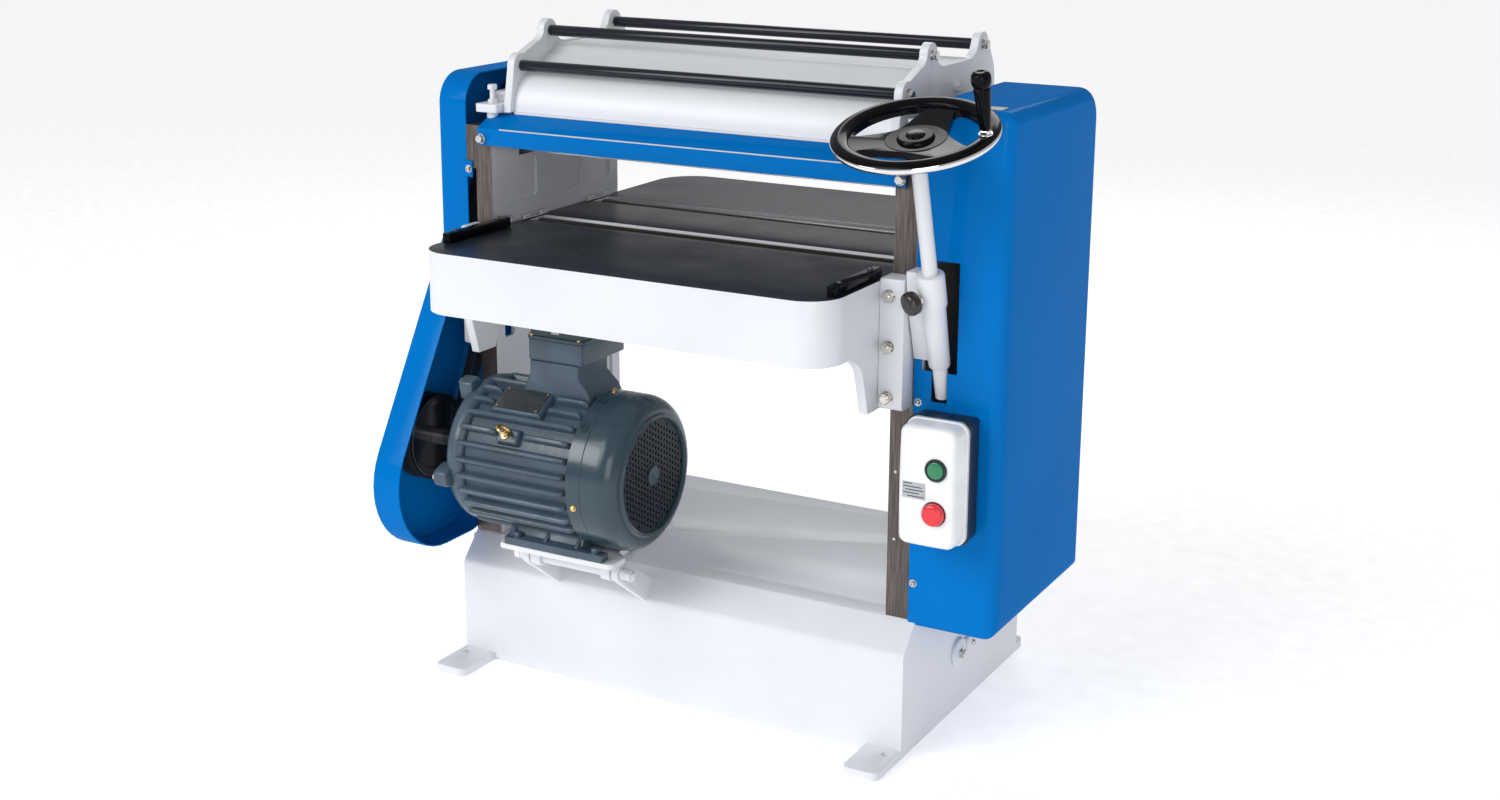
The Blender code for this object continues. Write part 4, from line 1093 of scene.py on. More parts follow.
def coil(work, base, radius, wire, height, turns):
    """Add a wire spring standing on a point."""
    steps = turns * 16
    around = [2 * pi * k / 8 for k in range(8)]
    rings = []
    for step in range(steps + 1):
        a = 2 * pi * turns * step / steps
        centre = base + Vector((radius * cos(a), radius * sin(a), height * step / steps))
        out = Vector((cos(a), sin(a), 0))
        up = Vector((0, 0, 1))
        rings.append([centre + (out * cos(b) + up * sin(b)) * wire for b in around])
    skin(work, rings)


# --------------------------------------------------------------------- table
TABLE_LOW, TABLE_HIGH = BOX["table"]
TABLE_TOP = TABLE_HIGH.z
TABLE_HALF = TABLE_HIGH.x
APRON = 0.0866
TABLE_WALL = 0.012
TABLE_PLATE = 0.025
TABLE_ROLLER_R = 0.020


def make_table():
    """Ribbed cast table: ground dark top, white aprons, side webs and roller slots."""
    corners = [
        (-TABLE_HALF, TABLE_LOW.y), (TABLE_HALF, TABLE_LOW.y), (TABLE_HALF, TABLE_HIGH.y),
        (-TABLE_HALF, TABLE_HIGH.y),
    ]
    radii = [0.050, 0.050, 0.065, 0.065]
    low = TABLE_TOP - APRON
    work = new()
    prism(work, rounded(corners, radii, steps=20), "Z", low, TABLE_TOP)
    for way, levels in (
        ((1, 0, 0), (-0.25, 0, 0.25)), ((0, 1, 0), (-0.13, -0.03, 0.05, 0.15, 0.30, 0.37, 0.44)),
    ):
        for level in levels:
            every = work.verts[:] + work.edges[:] + work.faces[:]
            bmesh.ops.bisect_plane(work, geom=every, plane_co=Vector(way) * level, plane_no=way)
    table = solid("planer_table", work)
    hollow = new()
    prism(hollow, rounded(corners, radii, TABLE_WALL, steps=20), "Z", low - 0.01, TABLE_TOP - TABLE_PLATE)
    changes = [("DIFFERENCE", hollow)]
    web = [
        (-0.125, low + 0.002),
        *bend([(-0.125, low + 0.0018), (-0.084, low - 0.016), (-0.063, 0.489)], [0.040], 10)[1:],
        (-0.023, 0.489), *bend([(-0.022, 0.4892), (-0.018, 0.530), (0.004, 0.530)], [0.016], 8)[1:],
        (0.334, 0.530), (0.362, 0.545), (0.390, low + 0.002), (0.390, 0.640), (-0.125, 0.640),
    ]
    for side in (-1, 1):
        cheek = new()
        prism(
            cheek, web, "X",
            *sorted((side * (TABLE_HALF - TABLE_WALL - 0.0008), side * (TABLE_HALF - 0.0002))),
        )
        changes.append(("UNION", cheek))
    ribs = new()
    for y in (-0.075, 0.015, 0.176, 0.330, 0.420):
        box(ribs, (-0.310, 0.310), (y - 0.005, y + 0.005), (0.612, 0.640))
    changes.append(("UNION", ribs))
    slots = new()
    for joint in ("front_table_roller_spin", "rear_table_roller_spin"):
        y = pivot(joint)[0].y
        box(slots, (-0.3048, 0.3048), (y - 0.0215, y + 0.0215), (0.600, 0.670))
    changes.append(("DIFFERENCE", slots))
    carve(table, *changes)
    soften(table, 0.0014, 3, 40, merge=False)
    shown(table, "lift_table", [WHITE, TABLE_IRON], ["table"])
    top = TABLE_TOP + HOME.z
    for face in table.data.polygons:
        if face.normal.z > 0.6 and face.center.z > top - 0.0020:
            face.material_index = 1


def make_table_pieces():
    """Table rollers and their bearings, side guide bars, slide plates and bolts."""
    for word in ("front", "rear"):
        at = pivot(word + "_table_roller_spin")[0]
        low, high = BOX["table_roller_" + word]
        work = new()
        half = 0.299
        profile = [
            (low.x, 0.0072), (low.x + 0.0008, 0.008), (-half, 0.008), (-half, TABLE_ROLLER_R - 0.0012),
            (0.0012 - half, TABLE_ROLLER_R), (half - 0.0012, TABLE_ROLLER_R), (half, TABLE_ROLLER_R - 0.0012),
            (half, 0.008), (high.x - 0.0008, 0.008), (high.x, 0.0072),
        ]
        across(work, at, profile, 64)
        piece("bed_roller_" + word, work, word + "_table_roller", ROLLER, ["table_roller_" + word])
    bars = new()
    tops = []
    for side, near, far in ((-1, -0.132, 0.013), (1, -0.150, -0.016)):
        xs = sorted((side * 0.298, side * 0.311))
        box(bars, xs, (near, far), (TABLE_TOP + GAP, TABLE_TOP + 0.0145))
        tops += [(side * 0.3045, near + 0.022), (side * 0.3045, far - 0.022)]
    piece("table_guide_bars", bars, "lift_table", BLACK, edge=0.0012)
    work = new()
    for x, y in tops:
        round_screw(work, (x, y, TABLE_TOP + 0.0145), (0, 0, 1), 0.0032)
    piece("guide_bar_screws", work, "lift_table", CHAIN_STEEL)
    blocks = new()
    strips = new()
    for joint in ("front_table_roller_spin", "rear_table_roller_spin"):
        y = pivot(joint)[0].y
        for side in (-1, 1):
            xs = sorted((side * 0.3072, side * 0.3106))
            box(strips, xs, (y - 0.034, y + 0.034), (TABLE_TOP + GAP, TABLE_TOP + 0.0030))
            for near in (-0.021, 0.021):
                ys = (y + near - 0.0075, y + near + 0.0075)
                box(blocks, xs, ys, (TABLE_TOP + 0.0026, TABLE_TOP + 0.0076))
    piece("roller_adjusting_blocks", blocks, "lift_table", WHITE, edge=0.0008)
    piece("roller_adjusting_strips", strips, "lift_table", ZINC, edge=0.0004)
    bolts = new()
    for side, word in ((-1, "left"), (1, "right")):
        low, high = BOX["slide_plate_" + word]
        work = new()
        prism(
            work, rounded(rectangle((low.y, high.y), (low.z, high.z)), [0.006, 0.001, 0.001, 0.003]), "X",
            low.x, high.x,
        )
        plate = soften(solid("slide_%s" % word, work), 0.0012)
        shown(plate, "lift_table", WHITE, ["slide_plate_" + word])
        for number, z in enumerate((0.643, 0.575, 0.507)):
            hex_bolt(bolts, (side * 0.3305, low.y, z), (0, -1, 0), 0.0088, 0.35 * number, stem=0.003)
    piece("slide_plate_bolts", bolts, "lift_table", ZINC)


def make_screws():
    """Four threaded table screws with chain wheels, one with the driven gear."""
    pitch = 0.003
    for hand, x in zip(("left", "right"), SCREW_X):
        for place, y in zip(("front", "rear"), SCREW_Y):
            name = "table_screw_%s_%s" % (hand, place)
            low, high = BOX[name]
            chain_z = (BOX["lift_chain"][0].z + BOX["lift_chain"][1].z) / 2
            work = new()
            collar = [
                (low.z, 0.007), (chain_z - 0.004, 0.007), (chain_z - 0.004, 0.0125),
                (chain_z - 0.0018, 0.0152), (chain_z + 0.0018, 0.0152), (chain_z + 0.004, 0.0125),
                (chain_z + 0.004, 0.007), (0.206, 0.007),
            ]
            turned(work, (x, y, 0), (0, 0, 1), collar, 32)
            thread(work, (x, y), 0.206, high.z - 0.003, SCREW_R, pitch)
            if name == "table_screw_right_front":
                middle = HUB.z - (y - HUB.y) / tan(LEAN)
                outline = [(x + a, y + b) for a, b in toothed(12, 0.0125, 0.0150)]
                prism(work, outline, "Z", middle - 0.006, middle + 0.006)
            piece(name + "_thread", work, "screw_%s_%s" % (hand, place), STEEL, [name], smooth=50)


def thread(work, at, low, high, radius, pitch):
    """Add a threaded bar: a helical ridge of trapezoidal section with closed ends."""
    profile = ((0.0, -0.0011), (0.28, -0.0011), (0.44, 0.0), (0.84, 0.0))
    segments = 12
    core = radius - 0.0012
    count = int((high - low) / pitch) - 1
    rings = []
    for step in range(segments):
        a = 2 * pi * step / segments
        line = [(at[0] + core * cos(a), at[1] + core * sin(a), low)]
        for coil_number in range(count):
            for share, depth in profile:
                level = low + pitch * (coil_number + share + step / segments)
                reach = radius + depth
                line.append((at[0] + reach * cos(a), at[1] + reach * sin(a), level))
        line.append((at[0] + core * cos(a), at[1] + core * sin(a), high))
        rings.append(line)
    rows = [[work.verts.new(p) for p in line] for line in rings]
    length = len(rows[0])
    per_turn = len(profile)
    for step in range(segments):
        here, after = rows[step], rows[(step + 1) % segments]
        last = step == segments - 1
        shift = per_turn if last else 0
        for k in range(1, length - 2 - per_turn):
            work.faces.new((here[k + shift], after[k], after[k + 1], here[k + 1 + shift]))
    loose = [e for e in work.edges if len(e.link_faces) == 1 and any(e.verts[0] in row for row in rows)]
    bmesh.ops.holes_fill(work, edges=loose, sides=0)


def toothed(teeth, root, tip):
    """The outline of a wheel with tapered teeth."""
    points = []
    pitch = 2 * pi / teeth
    for tooth in range(teeth):
        for offset, radius in (
            (-0.34, root), (-0.22, (root + tip) / 2), (-0.12, tip), (0.12, tip), (0.22, (root + tip) / 2),
            (0.34, root),
        ):
            a = (tooth + offset) * pitch
            points.append((radius * cos(a), radius * sin(a)))
    return points


# ----------------------------------------------------------------- handwheel
RIM_R = 0.094
RIM_HALF = 0.012
RIM_THICK = 0.008
RIM_RISE = 0.014


def make_handwheel():
    """Dished wheel with a chromed outer rim, three flaring spokes and a stepped hub."""
    place = frame_at(HUB, WHEEL_AXIS)
    work = new()
    rings = []
    sides = 32
    for step in range(128):
        a = 2 * pi * step / 128
        ring = []
        for side in range(sides):
            b = 2 * pi * side / sides
            reach = RIM_R + RIM_HALF * cos(b)
            ring.append((reach * cos(a), reach * sin(a), RIM_RISE + RIM_THICK * sin(b)))
        rings.append(ring)
    skin(work, rings, "looped", place)
    wheel = solid("handwheel_rim", work)
    web = new()
    turned(
        web, HUB, WHEEL_AXIS, [(-0.0050, 0.010), (0.0065, 0.0880), (0.0150, 0.0880), (0.0052, 0.010)], 96,
        "looped",
    )
    dish = solid("handwheel_web", web)
    windows = new()
    for angle in (30, 150, 270):
        corners = [(0.0830 * cos(radians(a)), 0.0830 * sin(radians(a))) for a in (-47, -30, -10, 10, 30, 47)]
        corners.append((0.0370, 0))
        outline = rounded(corners, [0.0074, 0.06, 0.08, 0.08, 0.06, 0.0074, 0.050], steps=8)
        skin(
            windows, [[(a, b, z) for a, b in spun(outline, radians(angle))] for z in (-0.03, 0.04)],
            place=place,
        )
    carve(dish, ("DIFFERENCE", windows))
    soften(dish, 0.0030, 4, 40, 50)
    hub = new()
    profile = [
        (-0.0140, 0.0085), (-0.0140, 0.0180), (-0.0130, 0.0190), (0.0010, 0.0225), (0.0060, 0.0380),
        (0.0085, 0.0390), (0.0094, 0.0380), (0.0092, 0.0240), (0.0128, 0.0225), (0.0138, 0.0212),
        (0.0138, 0.0125), (0.0155, 0.0115), (0.0160, 0.0100), (0.0160, 0.0010), (0.0128, 0.0010),
        (0.0128, 0.0085),
    ]
    turned(hub, HUB, WHEEL_AXIS, profile, 64, "looped")
    carve(wheel, ("UNION", unwrapped(dish)), ("UNION", hub))
    bpy.data.objects.remove(dish, do_unlink=True)
    shown(wheel, "wheel", [BLACK, CHROME], ["handwheel"])
    home = frame_at(HUB + HOME, WHEEL_AXIS).inverted()
    for face in wheel.data.polygons:
        local = home @ face.center
        reach = sqrt(local.x ** 2 + local.y ** 2) - RIM_R
        around = atan2((local.z - RIM_RISE) / RIM_THICK, reach / RIM_HALF)
        if reach > -0.002 and -1.75 < around < 0.42:
            face.material_index = 1


def unwrapped(item):
    """An object's mesh as a bmesh, back in the machine's coordinates."""
    work = new()
    work.from_mesh(item.data)
    work.transform(Matrix.Translation(-HOME))
    return work


def make_grip():
    """Long tapered grip on a chromed nut, and its top disc."""
    seat = HUB + WHEEL_AXIS * (RIM_RISE + RIM_THICK + 0.0005) + Vector((RIM_R - 0.001, 0, 0))
    work = new()
    profile = [
        (0.0066, 0.0020), (0.0066, 0.0064), (0.0080, 0.0072), (0.0200, 0.0078), (0.0380, 0.0092),
        (0.0540, 0.0104), (0.0590, 0.0106), (0.0600, 0.0098), (0.0618, 0.0096), (0.0630, 0.0108),
        (0.0660, 0.0121), (0.0715, 0.0125), (0.0765, 0.0118), (0.0795, 0.0098), (0.0808, 0.0070),
        (0.0810, 0.0045), (0.0804, 0.0035), (0.0804, 0.0008),
    ]
    turned(work, seat, WHEEL_AXIS, profile, 48)
    piece("grip_body", work, "grip", BLACK, ["handwheel_grip"], smooth=40)
    work = new()
    place = frame_at(seat, WHEEL_AXIS)
    disc(work, place, 0.0088, 0, 0.0014, 32, 0.0003)
    hexagon(work, place, 0.0135, 0.0014, 0.0066)
    piece("grip_nut", work, "grip", CHROME)


def make_shaft():
    """Painted upper tube, plain lower end with the gear that drives the table screw."""
    down = (SCREW_Y[0] - HUB.y) / sin(LEAN)
    split = -(HUB.z - 0.506) / cos(LEAN)
    work = new()
    turned(work, HUB, WHEEL_AXIS, [
        (split, 0.0080), (split, 0.0100), (-0.0145, 0.0100), (-0.0145, 0.0080), (0.0122, 0.0080),
        (0.0125, 0.0076),
    ], 40)
    piece("shaft_tube", work, "wheel", WHITE, ["handwheel_shaft"])
    work = new()
    turned(work, HUB, WHEEL_AXIS, [
        (-down - 0.020, 0.0072), (-down - 0.0192, 0.0080), (-down - 0.0070, 0.0080), (-down - 0.0070, 0.0140),
        (-down + 0.0070, 0.0140), (-down + 0.0070, 0.0097), (split - 0.0001, 0.0097),
    ], 40)
    place = frame_at(HUB - WHEEL_AXIS * down, WHEEL_AXIS)
    skin(work, [[(a, b, z) for a, b in toothed(24, 0.0301, 0.0326)] for z in (-0.005, 0.005)], place=place)
    piece("shaft_gear", work, "wheel", STEEL)


def make_bracket():
    """Collar and tapering arm that hold the shaft, their web, and the lock knob."""
    top = (HUB.z - 0.6806) / cos(LEAN)
    clear = 0.0104
    work = new()
    profile = [
        (-top - 0.135, clear), (-top - 0.135, 0.0135), (-top - 0.134, 0.0142), (-top - 0.050, 0.0160),
        (-top - 0.046, 0.0162), (-top - 0.0445, 0.0182), (-top - 0.043, 0.0185), (-top - 0.003, 0.0185),
        (-top - 0.001, 0.0178), (-top, 0.0165), (-top, clear),
    ]
    turned(work, HUB, WHEEL_AXIS, profile, 64, "looped")
    bracket = solid("shaft_collar", work)
    web = new()
    outline = [(-0.004, 0.556), (0.009, 0.556), (0.009, 0.678), (-0.034, 0.678), (-0.030, 0.640)]
    prism(web, outline, "X", COVER_FACE, 0.3785)
    toward = Vector((-0.5, -0.83, -0.25)).normalized()
    at = HUB - WHEEL_AXIS * (top + 0.030)
    hole = new()
    turned(hole, at, toward, [(0.0115, 0.0040), (0.0350, 0.0040)], 24)
    carve(bracket, ("UNION", web), ("DIFFERENCE", hole))
    soften(bracket, 0.0009, 2, 40)
    shown(bracket, "machine", WHITE, ["shaft_bracket"])
    work = new()
    turned(work, at, toward, [
        (0.0245, 0.0080), (0.0250, 0.0105), (0.0268, 0.0148), (0.0285, 0.0158), (0.0345, 0.0160),
        (0.0380, 0.0154), (0.0402, 0.0138), (0.0413, 0.0110), (0.0416, 0.0060), (0.0412, 0.0020),
    ], 48)
    piece("lock_knob_head", work, "lock_knob", KNOB, ["wheel_lock_knob"], smooth=40)
    work = new()
    turned(work, at, toward, [(0.0125, 0.0030), (0.0130, 0.0036), (0.0246, 0.0036)], 24)
    piece("lock_knob_stem", work, "lock_knob", ZINC)
    work = new()
    place = frame_at(at + toward * 0.0186, toward)
    hexagon(work, place, 0.0115, 0, 0.0038)
    piece("lock_knob_nut", work, "lock_knob", ZINC)


# --------------------------------------------------------------------- motor
DRIVE_END = BOX["motor_drive_shield"][0].x
FAN_END = BOX["motor_fan_cover"][1].x
DRUM_R = 0.0980
FIN_R = 0.1095
MOTOR_FOOT = BOX["motor_frame"][0].z


def on_motor(x, radius, angle):
    """A point by its distance from the motor's axis, the angle taken from +Y towards +Z."""
    a = radians(angle)
    return Vector((x, MOTOR.y + radius * cos(a), MOTOR.z + radius * sin(a)))


def motor_frame_at(x, radius, angle):
    """Placement on the motor: local X along the axis, Y round it, Z outwards."""
    a = radians(angle)
    out = Vector((0, cos(a), sin(a)))
    turn = Vector((0, -sin(a), cos(a)))
    grid = Matrix((Vector((1, 0, 0)), turn, out)).transposed().to_4x4()
    return Matrix.Translation(on_motor(x, radius, angle)) @ grid


def add_fin(work, angle, low, high):
    """A cast fin with a rounded crest that dies away at both ends."""
    rings = []
    rise = ((0.0, 0.12), (0.0012, 0.45), (0.0035, 0.75), (0.0070, 0.93), (0.0120, 1.0))
    stations = [(low + a, share) for a, share in rise] + [(high - a, share) for a, share in reversed(rise)]
    for x, share in stations:
        crest = DRUM_R - 0.002 + (FIN_R - DRUM_R + 0.002) * share
        ring = []
        for offset, reach in (
            (-0.0050, DRUM_R - 0.003), (-0.0040, crest - 0.0045), (-0.0034, crest - 0.0016), (-0.0018, crest),
            (0.0018, crest), (0.0034, crest - 0.0016), (0.0040, crest - 0.0045), (0.0050, DRUM_R - 0.003),
        ):
            reach = max(reach, DRUM_R - 0.003)
            a = radians(angle) + offset / reach
            ring.append((x, MOTOR.y + reach * cos(a), MOTOR.z + reach * sin(a)))
        rings.append(ring)
    skin(work, rings)


def add_pad(work, place, half_length, half_width, levels):
    """Add a rounded block from pairs of (level, how far its sides are drawn in there)."""
    rings = []
    for level, inset in levels:
        length, width = half_length - inset, half_width - inset
        outline = rounded(rectangle((-length, length), (-width, width)), [0.003] * 4, steps=3)
        rings.append(lift(outline, "Z", level))
    skin(work, rings, place=place)


def make_motor_frame():
    """Finned casting with nameplate pad, terminal box neck and slotted feet."""
    work = new()
    profile = [
        (DRIVE_END + 0.030, DRUM_R - 0.001), (DRIVE_END + 0.034, DRUM_R), (-0.0815, DRUM_R),
        (-0.0803, DRUM_R - 0.0012), (-0.0803, 0.086), (DRIVE_END + 0.030, 0.086),
    ]
    across(work, MOTOR, profile, 112, "looped")
    left = DRIVE_END + 0.026
    right = -0.0865
    for number in range(28):
        angle = 360 * (number + 0.5) / 28
        if 258 < angle < 282 or 82 < angle < 94:
            continue
        if abs(angle - 118) < 17:
            add_fin(work, angle, left, -0.232)
            add_fin(work, angle, -0.146, right)
        elif abs(angle - 150) < 7:
            add_fin(work, angle, left, -0.207)
            add_fin(work, angle, -0.166, right)
        else:
            add_fin(work, angle, left, right)
    casting = solid("motor_casting", work, 40)
    shown(casting, "motor_base", MOTOR_PAINT, ["motor_frame"])
    pads = new()
    place = motor_frame_at(-0.189, DRUM_R - 0.004, 118)
    add_pad(pads, place, 0.040, 0.024, ((0, -0.004), (0.0105, 0), (0.0130, 0.0015)))
    place = motor_frame_at(-0.187, DRUM_R - 0.004, 149.5)
    add_pad(pads, place, 0.017, 0.010, ((0, -0.003), (0.0110, 0), (0.0130, 0.0015)))
    y, z = MOTOR.y, MOTOR.z
    rings = []
    for level, grow in (
        (z + 0.080, 0.022), (z + 0.112, 0.012), (z + 0.132, 0.0), (BOX["terminal_box"][0].z - GAP, 0.0),
    ):
        xs = (-0.186 - grow, -0.104 + grow)
        ys = (y - 0.038 + grow * 0.4, y + 0.040 + grow * 0.8)
        rings.append(lift(rounded(rectangle(xs, ys), [0.005] * 4, steps=3), "Z", level))
    skin(pads, rings)
    half = 0.082
    foot = [
        (y - half, MOTOR_FOOT), (y + half, MOTOR_FOOT), (y + half, MOTOR_FOOT + 0.011),
        (y + 0.068, MOTOR_FOOT + 0.013), (y + 0.056, MOTOR_FOOT + 0.036),
        (y - 0.056, MOTOR_FOOT + 0.036), (y - 0.068, MOTOR_FOOT + 0.013), (y - half, MOTOR_FOOT + 0.011),
    ]
    prism(pads, foot, "X", -0.204, -0.081)
    for side in (-1, 1):
        ys = sorted((y + side * 0.064, y + side * (half - 0.0005)))
        box(pads, (-0.2035, -0.041), ys, (MOTOR_FOOT + 0.0003, MOTOR_FOOT + 0.0112))
        for x in (-0.196, -0.140, -0.088):
            rib = [
                (y + side * 0.080, MOTOR_FOOT + 0.008), (y + side * 0.050, MOTOR_FOOT + 0.034),
                (y + side * 0.045, MOTOR_FOOT + 0.008),
            ]
            prism(pads, rib[::side], "X", x - 0.003, x + 0.003)
    pads_item = soften(solid("motor_pads_and_foot", pads), 0.0010, 2, 35)
    shown(pads_item, "motor_base", MOTOR_PAINT)


def make_motor_fittings():
    """Nameplate with rivets, lifting eye, foot bolts and cover screws."""
    plate = new()
    place = motor_frame_at(-0.189, DRUM_R + 0.0091, 118)
    outline = rounded(rectangle((-0.036, 0.036), (-0.0205, 0.0205)), [0.002] * 4, steps=4)
    skin(plate, [[(x, y, z) for x, y in outline] for z in (0, 0.0008)], place=place)
    piece("motor_nameplate", plate, "motor_base", PLATE)
    brass = new()
    for x in (-0.033, 0.033):
        for y in (-0.0175, 0.0175):
            disc(brass, place @ Matrix.Translation((x, y, 0.0008)), 0.0017, 0, 0.0009, 12, 0.0004)
    eye = motor_frame_at(
        -0.188, DRUM_R + 0.019, 147,
    ) @ Matrix.Rotation(radians(28), 4, "Z") @ Matrix.Rotation(radians(72), 4, "X")
    rings = []
    reach, wire = 0.0105, 0.0026
    around = [2 * pi * k / 12 for k in range(12)]
    for step in range(40):
        a = 2 * pi * step / 40
        out = Vector((cos(a), sin(a), 0))
        rings.append([out * (reach + wire * cos(b)) + Vector((0, 0, wire * sin(b))) for b in around])
    skin(brass, rings, "looped", eye)
    stem = motor_frame_at(-0.190, DRUM_R + 0.008, 149.5)
    disc(brass, stem, 0.0058, 0, 0.0035, 24, 0.0006)
    disc(brass, stem, 0.0034, 0.0035, 0.0080, 16, 0.0006)
    for x, angle in ((-0.0735, 86), (-0.0685, 194), (-0.0685, 302), (-0.0735, 14)):
        place = motor_frame_at(x, 0.1105, angle)
        disc(brass, place, 0.0044, 0, 0.0010, 20, 0.0003)
        six_sided(brass, place, ((0.001, 0.0036), (0.0030, 0.0036), (0.0038, 0.0028)))
    piece("motor_brass_fittings", brass, "motor_base", BRASS, smooth=40)
    bolts = new()
    for x in (-0.186, -0.056):
        for side in (-1, 1):
            hex_bolt(bolts, (x, MOTOR.y + side * 0.0735, MOTOR_FOOT + 0.0112), (0, 0, 1), 0.0070, 0.2)
    piece("motor_foot_bolts", bolts, "motor_base", MOTOR_PAINT)


def make_drive_shield():
    """Bearing end casting: a rounded band with four bolt ears."""
    work = new()
    x = DRIVE_END
    profile = [
        (x, 0.0147), (x, 0.0380), (x + 0.0015, 0.0400), (x + 0.006, 0.0460), (x + 0.008, 0.0820),
        (x + 0.0095, 0.0930), (x + 0.0135, 0.1010), (x + 0.0200, 0.1055), (x + 0.0290, 0.1070),
        (x + 0.0360, 0.1060), (x + 0.0405, 0.1020), (x + 0.0417, 0.0990), (x + 0.0417, 0.0930),
        (x + 0.0180, 0.0780), (x + 0.0180, 0.0147),
    ]
    across(work, MOTOR, profile, 96, "looped")
    shield = solid("drive_end_shield", work, 40)
    ears = new()
    for angle in (111, 190, 280, 20):
        place = motor_frame_at(x + 0.013, 0.092, angle)
        rings = []
        for z, half in ((0, 0.016), (0.0165, 0.0135), (0.0230, 0.0110), (0.0255, 0.0085)):
            outline = rounded(rectangle((-0.0125, 0.0125 - z * 0.1), (-half, half)), [0.0035] * 4, steps=3)
            rings.append([(a, b, z) for a, b in outline])
        skin(ears, rings, place=place)
    shown(shield, "motor_base", MOTOR_PAINT, ["motor_drive_shield"])
    piece("drive_end_ears", ears, "motor_base", MOTOR_PAINT, edge=0.0012)
    bolts = new()
    for angle in (111, 190, 280, 20):
        at = on_motor(x + 0.0005, 0.1095, angle)
        hexagon(bolts, frame_at(at, (-1, 0, 0)), 0.0100, 0, 0.0045)
    piece("drive_end_bolts", bolts, "motor_base", ZINC)


def make_fan_cover():
    """Pressed fan cover with a groove, a deep shoulder and a pierced grille with a centre boss."""
    x = FAN_END
    near = BOX["motor_fan_cover"][0].x
    work = new()
    outside = [
        (near, 0.1070), (near, 0.1100), (near + 0.0008, 0.1108), (x - 0.0555, 0.1108), (x - 0.0547, 0.1100),
        (x - 0.0539, 0.1108),
    ]
    turn = [radians(angle) for angle in range(0, 91, 9)]
    shoulder = [(x - 0.0330 + 0.0290 * sin(a), 0.0880 + 0.0226 * cos(a)) for a in turn]
    face = [
        (x - 0.0022, 0.0862), (x - 0.0005, 0.0848), (x - 0.0002, 0.0832), (x - 0.0012, 0.0812),
        (x - 0.0046, 0.0800),
    ]
    inside = [(x - 0.0080, 0.0796), (x - 0.0090, 0.0820), (x - 0.0150, 0.0900), (x - 0.0330, 0.1065)]
    across(work, MOTOR, outside + shoulder + face + inside, 128, "looped")
    piece("fan_cover_shell", work, "motor_base", MOTOR_SHEET, ["motor_fan_cover"], smooth=30)
    work = new()
    across(
        work, MOTOR, [(x - 0.0066, 0.0798), (x - 0.0048, 0.0798), (x - 0.0048, 0.0010), (x - 0.0066, 0.0010)],
        96, "looped",
    )
    grille = solid("fan_grille", work)
    holes = new()
    pitch = 0.0086
    corners = [(cos(k * pi / 3), sin(k * pi / 3)) for k in range(6)]
    for column in range(-11, 12):
        for row in range(-10, 11):
            y = column * pitch * 0.866
            z = (row + (0.5 if column % 2 else 0)) * pitch
            reach = sqrt(y * y + z * z)
            if 0.0170 < reach < 0.0745:
                outline = [(MOTOR.y + y + a * 0.0022, MOTOR.z + z + b * 0.0031) for a, b in corners]
                prism(holes, outline, "X", x - 0.010, x)
    carve(grille, ("DIFFERENCE", holes))
    shown(grille, "motor_base", GRILLE)
    work = new()
    at = (x - 0.0048, MOTOR.y, MOTOR.z)
    turned(
        work, at, (1, 0, 0),
        [
            (0, 0.0010), (0, 0.0140), (0.0012, 0.0140), (0.0020, 0.0132), (0.0020, 0.0118), (0.0012, 0.0112),
            (0.0012, 0.0050), (0.0006, 0.0046), (0.0006, 0.0010),
        ],
        40, "looped",
    )
    for angle, x_at in ((107, -0.068), (133, -0.068)):
        place = motor_frame_at(x_at, 0.1106, angle)
        for reach, tall in ((0.0092, 0.0009), (0.0058, 0.0013), (0.0030, 0.0009)):
            ring = [(reach * 0.78 * cos(2 * pi * k / 28), reach * sin(2 * pi * k / 28)) for k in range(28)]
            inner = [(a * 0.86, b * 0.86) for a, b in ring]
            rings = [
                [(a, b, -0.0004) for a, b in ring], [(a, b, tall) for a, b in ring],
                [(a, b, tall) for a, b in inner], [(a, b, -0.0004) for a, b in inner],
            ]
            skin(work, rings, "looped", place)
    piece("fan_cover_boss_and_marks", work, "motor_base", MOTOR_SHEET, smooth=40)


def make_terminal_box():
    """Terminal box with an overhanging lid, a plain plate and brass lid screws."""
    low, high = BOX["terminal_box"]
    work = new()
    xs = (low.x + 0.002, high.x - 0.002)
    prism(work, rounded(rectangle(xs, (low.y, high.y)), [0.006] * 4), "Z", low.z, 0.5345)
    piece("terminal_body", work, "motor_base", MOTOR_PAINT, ["terminal_box"], edge=0.0010)
    work = new()
    rings = []
    for level, inset in (
        (0.5348, 0.0005), (0.5356, 0.0), (0.5392, 0.0), (0.5400, 0.0008), (0.5404, 0.0030), (0.5560, 0.0044),
        (0.5576, 0.0056), (0.5580, 0.0080),
    ):
        corners = rectangle((low.x, high.x), (low.y, high.y))
        rings.append(lift(rounded(corners, [0.007] * 4, inset, 5), "Z", level))
    skin(work, rings)
    piece("terminal_lid", work, "motor_base", MOTOR_SHEET, smooth=25)
    work = new()
    box(work, (-0.152, -0.139), (low.y + 0.0034, low.y + 0.0046), (0.5435, 0.5530))
    piece("terminal_plate", work, "motor_base", LABEL, edge=0.0003)
    work = new()
    for x in (low.x + 0.008, high.x - 0.008):
        for y in (low.y + 0.0055, high.y - 0.0055):
            round_screw(work, (x, y + (-0.0020 if y < -0.05 else 0.0020), 0.5398), (0, 0, 1), 0.0026)
    piece("terminal_screws", work, "motor_base", BRASS)


